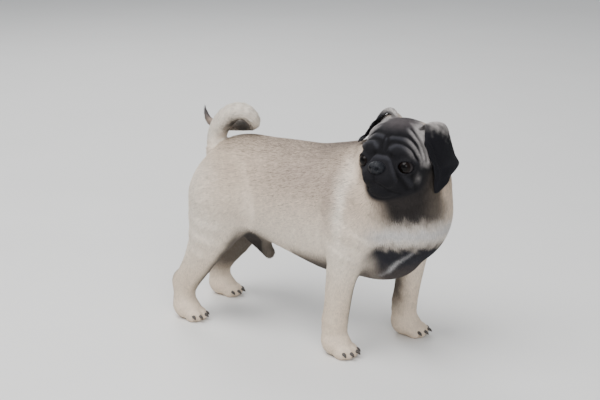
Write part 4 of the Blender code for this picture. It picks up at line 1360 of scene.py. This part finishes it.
def fur_finish():
    """The tufts: each has its own stored colour, darker at its root as painted shade among the hairs.
    """
    f = Finish("fur", roughness=0.72, sheen_weight=0.02, specular_ior_level=0.12)
    streak = f.noise(0.004, 3.0)
    colour = f.blended(1.0, f.stored("coat_colour"), f.grey(0.72 + 0.56 * streak), "MULTIPLY")
    return f.set(base_color=colour, roughness=0.62 + 0.2 * streak)


# Colours that aren't on the panel, and where the eye's rings end in radians from its middle.
PUPIL = (0.0015, 0.001, 0.001, 1.0)
IRIS_DARK = (0.006, 0.003, 0.002, 1.0)
WHITE = (0.030, 0.026, 0.027, 1.0)
WHITE_DARK = (0.012, 0.009, 0.009, 1.0)
# The nose's bluish grey is painted sheen.
NOSE_SHEEN = (0.009, 0.011, 0.016, 1.0)
CLAW_PALE = (0.075, 0.062, 0.052, 1.0)
PUPIL_EDGE = (0.42, 0.50)
IRIS_EDGE = (0.86, 0.96)
NOSE_PEBBLES = 900.0
FLOOR_MOTTLE = 0.93


def eye_finish(colours):
    """Wet and near black: a brown iris round the pupil, darker at its rim, and a dull white."""
    f = Finish("wet_eye", roughness=0.3, specular_ior_level=0.05, coat_weight=0.35)
    f.set(coat_ior=1.33, coat_roughness=0.03)
    ring = f.stored("ring", "Fac")
    fibres = f.noise(0.0007, 4.0)
    iris = f.blended(fibres * 0.7, (*colours.eye, 1.0), IRIS_DARK)
    rim = f.step(ring, *IRIS_EDGE)
    inner = f.blended(f.step(ring, *PUPIL_EDGE), PUPIL, iris)
    white = f.blended(fibres * 0.5, WHITE, WHITE_DARK)
    return f.set(base_color=f.blended(rim, inner, white))


def nose_finish(colours):
    """Moist black leather with small pebbles and bluish-grey patches of painted sheen."""
    f = Finish("nose_leather", roughness=0.4, specular_ior_level=0.22)
    f.set(coat_weight=0.08, coat_roughness=0.2)
    inputs = {"Vector": f.place(), "Scale": NOSE_PEBBLES, "Randomness": 0.9}
    pebble = f.node("TexVoronoi", {"feature": "DISTANCE_TO_EDGE"}, inputs, "Distance")
    height = f.step(pebble, 0.0, 0.25)
    # Random bluish-grey patches: painted sheen on the moist leather; the same noise varies its
    # roughness.
    sheen_patches = f.noise(0.004, 2.0)
    colour = f.blended(sheen_patches, (*colours.nose, 1.0), NOSE_SHEEN)
    return f.set(base_color=colour, roughness=0.34 + 0.25 * sheen_patches, normal=f.bump(height, 0.00025))


def claw_finish(colours):
    """Dark horn with lengthwise streaks."""
    f = Finish("claw_horn", roughness=0.4, coat_weight=0.1)
    streak = f.noise(0.0012, 3.0)
    colour = f.blended(streak, (*colours.claw, 1.0), CLAW_PALE)
    return f.set(base_color=colour, roughness=0.32 + 0.25 * streak, normal=f.bump(streak, 0.0002))


def floor_finish(colours):
    """Matt and pale, with faint wide mottling."""
    f = Finish("pale_floor", roughness=0.7)
    mottle = f.noise(0.25, 4.0)
    darker = tuple(FLOOR_MOTTLE * c for c in colours.floor)
    colour = f.blended(mottle, (*colours.floor, 1.0), (*darker, 1.0))
    return f.set(base_color=colour, roughness=0.6 + 0.2 * mottle)


# The add-on.


def colour(name, description, default):
    return FloatVectorProperty(
        name=name, description=description, default=default, size=3, min=0.0, max=1.0, subtype="COLOR"
    )


def length(name, description, default):
    return FloatProperty(name=name, description=description, default=default, min=0.0, unit="LENGTH")


class PugColours(bpy.types.PropertyGroup):
    fawn: colour("Fawn", "Coat over the back and sides", (0.68, 0.545, 0.42))
    # Ticked also paints the shadow line behind the shoulder roll, and Pale paints the highlight along
    # it.
    ticked: colour("Ticked", "Coat of the upper ribs", (0.47, 0.375, 0.31))
    pale: colour("Pale", "Coat of the belly, rump, tail and shoulder roll", (0.90, 0.80, 0.68))
    leg: colour("Leg", "Coat of the legs", (0.74, 0.60, 0.46))
    smoke: colour("Smoke", "Grey-brown trace over the back", (0.16, 0.125, 0.105))
    silver: colour("Silver", "Band across the chest", (0.62, 0.61, 0.61))
    # This colour is the tail's dark tip, and also the painted highlight on the ridges of the mask.
    slate_and_ridge_sheen: colour("Slate", "Breast, ridges of the mask and tip of the tail", (0.058, 0.058, 0.068))
    breast: colour("Breast", "Between the forelegs", (0.022, 0.022, 0.028))
    # This colour is dark hair together with painted shade: throat, jaws, belly, inner legs and inside
    # the tail's curl.
    dark_hair_and_shade: colour("Dusk", "Throat, jaws, belly and inner thighs", (0.026, 0.022, 0.021))
    brown: colour("Brown", "End of the tail", (0.20, 0.14, 0.11))
    mask: colour("Mask", "Face", (0.0100, 0.0095, 0.0115))
    crown: colour("Crown", "Top of the head", (0.070, 0.060, 0.062))
    band: colour("Band", "Folds between the brow and the ear", (0.36, 0.335, 0.325))
    fold: colour("Fold", "Fold of each ear", (0.56, 0.52, 0.49))
    ear: colour("Ear", "Velvet of the ears", (0.0080, 0.0078, 0.0105))
    eye: colour("Eye", "Iris", (0.0060, 0.0032, 0.0027))
    nose: colour("Nose", "Leather of the nose", (0.006, 0.006, 0.008))
    claw: colour("Claw", "Horn of the claws", (0.030, 0.026, 0.024))
    floor: colour("Floor", "Floor under the dog", (0.80, 0.79, 0.77))


class PugSizes(bpy.types.PropertyGroup):
    body_cell: length("Body cell", "Step of the net over the body", 3.2 * MM)
    head_cell: length("Head cell", "Step of the net over the head", 1.25 * MM)
    nose_cell: length("Nose cell", "Step of the net over the nose", 0.55 * MM)
    body_fur: length("Body fur", "Length of the tufts over the body", 7.0 * MM)
    leg_fur: length("Leg fur", "Length of the tufts on the legs", 4.5 * MM)
    head_fur: length("Head fur", "Length of the tufts on the head", 2.0 * MM)
    tuft_width: length("Tuft width", "Width of a tuft at its root", 0.5 * MM)
    tufts: FloatProperty(
        name="Tufts", description="Tufts for each square millimetre of the body", default=1.1, min=0.0
    )
    seed: IntProperty(name="Seed", description="Seed of the fur's small differences", default=7)


def settings():
    return bpy.context.scene.pug_colours, bpy.context.scene.pug_sizes


def palette(colours):
    names = ("fawn", "ticked", "pale", "leg", "smoke", "silver", "slate_and_ridge_sheen", "breast")
    names += ("dark_hair_and_shade", "brown", "mask", "crown", "band", "fold", "ear")
    return {name: np.array(getattr(colours, name)) for name in names}


def put(obj, material, slot, *replaced):
    """Gives a piece its material, hides what it stands for, and lets it ride. The slot is not used."""
    obj.data.materials.clear()
    obj.data.materials.append(material)
    if replaced:
        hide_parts(*replaced)
    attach(obj, "root")
    return obj


FLESH = ("torso", "neck", "head", "tail", "ear_left", "ear_right") + tuple(
    f"{kind}_leg_{side}" for kind in ("fore", "hind") for side in SIDES
)


class PUG_OT_skin(bpy.types.Operator):
    """Works out the skin over the whole body and colours it"""

    bl_idname = "pug.skin"
    bl_label = "Skin"

    def execute(self, context):
        colours, sizes = settings()
        coarse = 1.0
        points, faces = skin_surface(sizes.body_cell * coarse, sizes.head_cell * coarse)
        obj = mesh_of("skin", points - ORIGIN, faces)
        set_points(obj.data, "coat_colour", markings(points, palette(colours)))
        ways = lie(points, corner_normals(points, faces))
        set_points(obj.data, "falls", np.abs(ways[:, 2]), "FLOAT")
        put(obj, skin_finish(), "coat_fawn", *FLESH)
        print("skin", len(faces), "triangles")
        return {"FINISHED"}


def coat_piece(name, part, roots, up, ways, colour_at, sizes, rng):
    """One piece of the coat, whose tufts each have a colour, a patch of UV and soft normals."""
    head = part == "head"
    long = np.full(len(roots), sizes.head_fur) if head else fur_length(roots, sizes)
    width = sizes.tuft_width * (HEAD_WIDTH if head else 1.0)
    corners, shape = tufts(roots, up, ways, long, width, TUFT_LIFT, rng)
    corners[:, 2] = np.maximum(corners[:, 2], 0.0)
    obj = mesh_of(name, corners - ORIGIN, shape)
    tinted = colour_at[:, None, :] * TUFT_SHADES[None, :, None]
    set_points(obj.data, "coat_colour", np.clip(tinted, 0, 1).reshape(-1, 3))
    flat = (unwrap(roots, part)[:, None, :] + TUFT_CORNERS).reshape(-1, 2)[shape.ravel()]
    layer = obj.data.uv_layers.new(name="OFBake")
    layer.data.foreach_set("uv", flat.astype(np.float32).ravel())
    soft = np.repeat(up, 4, axis=0) + rng.normal(0.0, TUFT_SHADING, (4 * len(roots), 3))
    obj.data.normals_split_custom_set_from_vertices(unit(soft))
    print(name, len(shape), "triangles")
    if len(shape) >= COAT_LIMIT:
        raise ValueError(f"{name} has too many triangles")
    return obj


class PUG_OT_coat(bpy.types.Operator):
    """Covers the skin with short tufts of fur that follow its lie"""

    bl_idname = "pug.coat"
    bl_label = "Coat"

    def execute(self, context):
        colours, sizes = settings()
        points, faces = triangles_of(bpy.data.objects["skin"])
        points = points + ORIGIN
        rng = np.random.default_rng(sizes.seed)
        normals = corner_normals(points, faces)
        wanted = sizes.tufts * 1e6 * 1.0

        def per_area(p):
            return wanted * (1.0 + HEAD_MORE * head_share(p)) * (p[..., 2] > SOLE_TOP)

        face, weights = scattered(points, faces, per_area, rng)
        roots = (points[faces[face]] * weights[..., None]).sum(1)
        up = unit((normals[faces[face]] * weights[..., None]).sum(1))
        ways = lie(roots, up)
        parts = coat_part(roots)
        tone = np.clip(rng.normal(1.0, TUFT_TONES, len(roots)), 0.5, 1.5)
        tone = np.where(rng.random(len(roots)) < dark_hairs(roots), DARK_TIP, 1.0) * tone
        colour_at = markings(roots, palette(colours)) * tone[:, None]
        fur = fur_finish()
        for number, (name, part) in enumerate(COAT_PARTS):
            mine = parts == number
            grown = (values[mine] for values in (roots, up, ways, colour_at))
            obj = coat_piece(name, part, *grown, sizes, rng)
            put(obj, fur, "coat_mask" if part == "head" else "coat_fawn")
        return {"FINISHED"}


def nose_field(p):
    """The pad with its two nostrils and the groove between them."""
    s = folded(into_head(p))
    d = ball(s, NOSE_AT, point(8.6, 10.8, 7.8) * MM)
    d = carve(d, ball(s, NOSE_AT + point(8.0, 4.6, -0.4) * MM, point(3.4, 2.3, 2.5) * MM), 1.2 * MM)
    slit_ends = NOSE_AT + point(7.0, 6.2, -1.2) * MM, NOSE_AT + point(3.5, 10.5, -3.0) * MM
    slit = bone(s, *slit_ends, 1.1 * MM, 0.8 * MM)
    d = carve(d, slit, 1.0 * MM)
    ahead = np.clip((s[..., 0] - NOSE_AT[0]) / (5 * MM), 0, 1)
    return d + 0.7 * MM * bump_at(s[..., 1], 0, 0.9 * MM) * ahead


NOSE_BOX = 15 * MM
# Which way the eyes look, in degrees outwards and up.
GAZE = (14.0, -3.0)
EYE_BULGE = 0.55 * MM


def eye_surface(side, rows=40, columns=64):
    """An eyeball as rings round the way it looks: radius + bulge where the cornea stands out."""
    look = tilted(GAZE[0], "Z") @ tilted(-GAZE[1], "Y")
    angle = np.linspace(0, math.pi, rows)[:, None]
    turn = np.linspace(0, 2 * math.pi, columns, endpoint=False)[None, :]
    radius = EYE_RADIUS - 0.1 * MM + EYE_BULGE * np.exp(-((angle / 0.55) ** 4))
    ring = angle * np.ones_like(turn)
    ahead, out = radius * np.cos(ring), radius * np.sin(ring)
    ball_points = np.stack([ahead, out * np.cos(turn), out * np.sin(turn)], -1)
    return out_of_head(mirrored(ball_points @ look.T + EYE_AT, side)), ring


def grid_faces(rows, columns, flip=False):
    """Quads of a grid of points that closes on itself along its columns."""
    at = np.arange(rows * columns).reshape(rows, columns)
    after = np.roll(at, -1, axis=1)
    quads = np.stack([at[:-1], after[:-1], after[1:], at[1:]], -1).reshape(-1, 4)
    return quads[:, ::-1] if flip else quads


class PUG_OT_eyes(bpy.types.Operator):
    """Makes the two eyes, with the bulge of the cornea"""

    bl_idname = "pug.eyes"
    bl_label = "Eyes"

    def execute(self, context):
        colours, _ = settings()
        finish = eye_finish(colours)
        for side in SIDES:
            points, ring = eye_surface(side)
            faces = grid_faces(*ring.shape, flip=side == "right")
            obj = mesh_of(f"eyeball_{side}", (points - ORIGIN).reshape(-1, 3), faces)
            set_points(obj.data, "ring", ring.ravel(), "FLOAT")
            put(obj, finish, "eye", f"eye_{side}")
        return {"FINISHED"}


class PUG_OT_nose(bpy.types.Operator):
    """Makes the leather of the nose with its nostrils"""

    bl_idname = "pug.nose"
    bl_label = "Nose"

    def execute(self, context):
        colours, sizes = settings()
        tip = out_of_head(NOSE_AT)
        points, quads = net(nose_field, tip - NOSE_BOX, tip + NOSE_BOX, sizes.nose_cell)
        obj = mesh_of("nose_pad", points - ORIGIN, quads)
        put(obj, nose_finish(colours), "nose", "nose")
        return {"FINISHED"}


# Along a claw: how far ahead of the toe's middle, how high, and how thick.
CLAW_JOINTS = (
    (5.0 * MM, 11.2 * MM, 2.2 * MM),
    (11.0 * MM, 9.8 * MM, 1.9 * MM),
    (14.3 * MM, 7.0 * MM, 0.4 * MM),
)


# A claw's ends are closed by rings this small.
CLAW_END = 1e-6


def claw_surface(side, foot, toe_out, size, degrees, rows=9, columns=12):
    """One nail: a ring of points carried along a curve that bends down, thinner to its tip."""
    ahead = tilted(degrees * TOE_TURN, "Z") @ point(1, 0, 0)
    toe = toe_middle(degrees)
    joints = []
    for reach, height, radius in CLAW_JOINTS:
        at = toe + ahead * reach
        at[2] = height
        joints.append((*(foot + tilted(toe_out, "Z") @ at * size), radius * size))
    path = smooth_path(joints, rows)
    across, up = frames(path[:, :3])
    turn = np.linspace(0, 2 * math.pi, columns, endpoint=False)[None, :, None]
    ring = np.cos(turn) * across[:, None] + np.sin(turn) * 1.15 * up[:, None]
    rounded = path[:, 3:4, None].copy()
    rounded[[0, -1]] = CLAW_END
    return mirrored(path[:, None, :3] + rounded * ring, side)


class PUG_OT_claws(bpy.types.Operator):
    """Makes the claws of each paw"""

    bl_idname = "pug.claws"
    bl_label = "Claws"

    def execute(self, context):
        colours, _ = settings()
        finish = claw_finish(colours)
        for kind in ("fore", "hind"):
            for side in SIDES:
                foot, toe_out, size = fore_foot(side), FORE_TOE_OUT, 1.0
                if kind == "hind":
                    foot, toe_out, size = hind_foot(side), HIND_TOE_OUT, HIND_PAW_SIZE
                nails = [claw_surface(side, foot, toe_out, size, degrees) for degrees in TOE_ANGLES]
                faces = grid_faces(*nails[0].shape[:2], side == "right")
                faces = np.concatenate([faces + k * nails[0][..., 0].size for k in range(len(nails))])
                points = np.concatenate(nails).reshape(-1, 3)
                obj = mesh_of(f"claws_{kind}_{side}", points - ORIGIN, faces)
                nodes = [f"claw_{kind}_{side}_{number}" for number in (1, 2, 3, 4)]
                put(obj, finish, "claw", *nodes)
        return {"FINISHED"}


CAMERA = {"azimuth": 33.0, "elevation": 16.0, "distance": 1.80, "lens": 85.0}
CAMERA_TARGET = Vector((-0.0079, -0.0098, 0.177))
FLOOR_HALF = 9.0
LIT_POINT = Vector((0.0, 0.0, 0.15))
ROOM_COLOUR = (0.86, 0.90, 0.95, 1.0)
ROOM_STRENGTH = 0.55
# Each light's place, width in metres and power in watts.
LIGHTS = (
    ("soft_top", (-0.3, -1.0, 2.3), 2.0, 72.0),
    ("soft_front", (1.9, -1.9, 1.5), 1.2, 30.0),
    ("soft_back", (-1.6, 1.4, 1.8), 1.4, 26.0),
)


class PUG_OT_stage(bpy.types.Operator):
    """Sets out the floor, the soft lights and the camera"""

    bl_idname = "pug.stage"
    bl_label = "Stage"

    def execute(self, context):
        colours, _ = settings()
        corners = np.array([(-1, -1, 0), (1, -1, 0), (1, 1, 0), (-1, 1, 0)]) * FLOOR_HALF
        floor = mesh_of("floor", corners, np.array([[0, 1, 2, 3]]))
        floor.data.materials.append(floor_finish(colours))
        for name, at, size, power in LIGHTS:
            lamp = bpy.data.lights.new(name, "AREA")
            lamp.shape, lamp.size, lamp.energy = "DISK", size, power
            obj = linked(name, lamp)
            obj.location = at
            obj.rotation_euler = (LIT_POINT - Vector(at)).to_track_quat("-Z", "Y").to_euler()
        world = bpy.data.worlds.new("pale_room")
        world.use_nodes = True
        background = world.node_tree.nodes["Background"]
        background.inputs[0].default_value = ROOM_COLOUR
        background.inputs[1].default_value = ROOM_STRENGTH
        context.scene.world = world
        azimuth, elevation = (math.radians(CAMERA[key]) for key in ("azimuth", "elevation"))
        flat = math.cos(elevation)
        back = Vector((math.sin(azimuth) * flat, -math.cos(azimuth) * flat, math.sin(elevation)))
        camera = linked("camera", bpy.data.cameras.new("camera"))
        camera.data.lens = CAMERA["lens"]
        camera.data.clip_start = 0.05
        camera.location = CAMERA_TARGET + back * CAMERA["distance"]
        camera.rotation_mode = "QUATERNION"
        camera.rotation_quaternion = (-back).to_track_quat("-Z", "Y")
        context.scene.camera = camera
        return {"FINISHED"}


STEPS = (PUG_OT_skin, PUG_OT_coat, PUG_OT_eyes, PUG_OT_nose, PUG_OT_claws, PUG_OT_stage)


class PUG_PT_panel(bpy.types.Panel):
    bl_label = "Pug"
    bl_idname = "PUG_PT_panel"
    bl_space_type = "VIEW_3D"
    bl_region_type = "UI"
    bl_category = "Pug"

    def draw(self, context):
        for group in (context.scene.pug_colours, context.scene.pug_sizes):
            for name in group.__annotations__:
                self.layout.prop(group, name)
        for step in STEPS:
            self.layout.operator(step.bl_idname)


CLASSES = (PugColours, PugSizes, *STEPS, PUG_PT_panel)


def register():
    for each in CLASSES:
        bpy.utils.register_class(each)
    bpy.types.Scene.pug_colours = PointerProperty(type=PugColours)
    bpy.types.Scene.pug_sizes = PointerProperty(type=PugSizes)


def unregister():
    del bpy.types.Scene.pug_sizes
    del bpy.types.Scene.pug_colours
    for each in reversed(CLASSES):
        bpy.utils.unregister_class(each)


def main():
    register()
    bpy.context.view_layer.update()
    for step in STEPS:
        group, name = step.bl_idname.split(".")
        getattr(getattr(bpy.ops, group), name)()


if __name__ == "__main__":
    main()
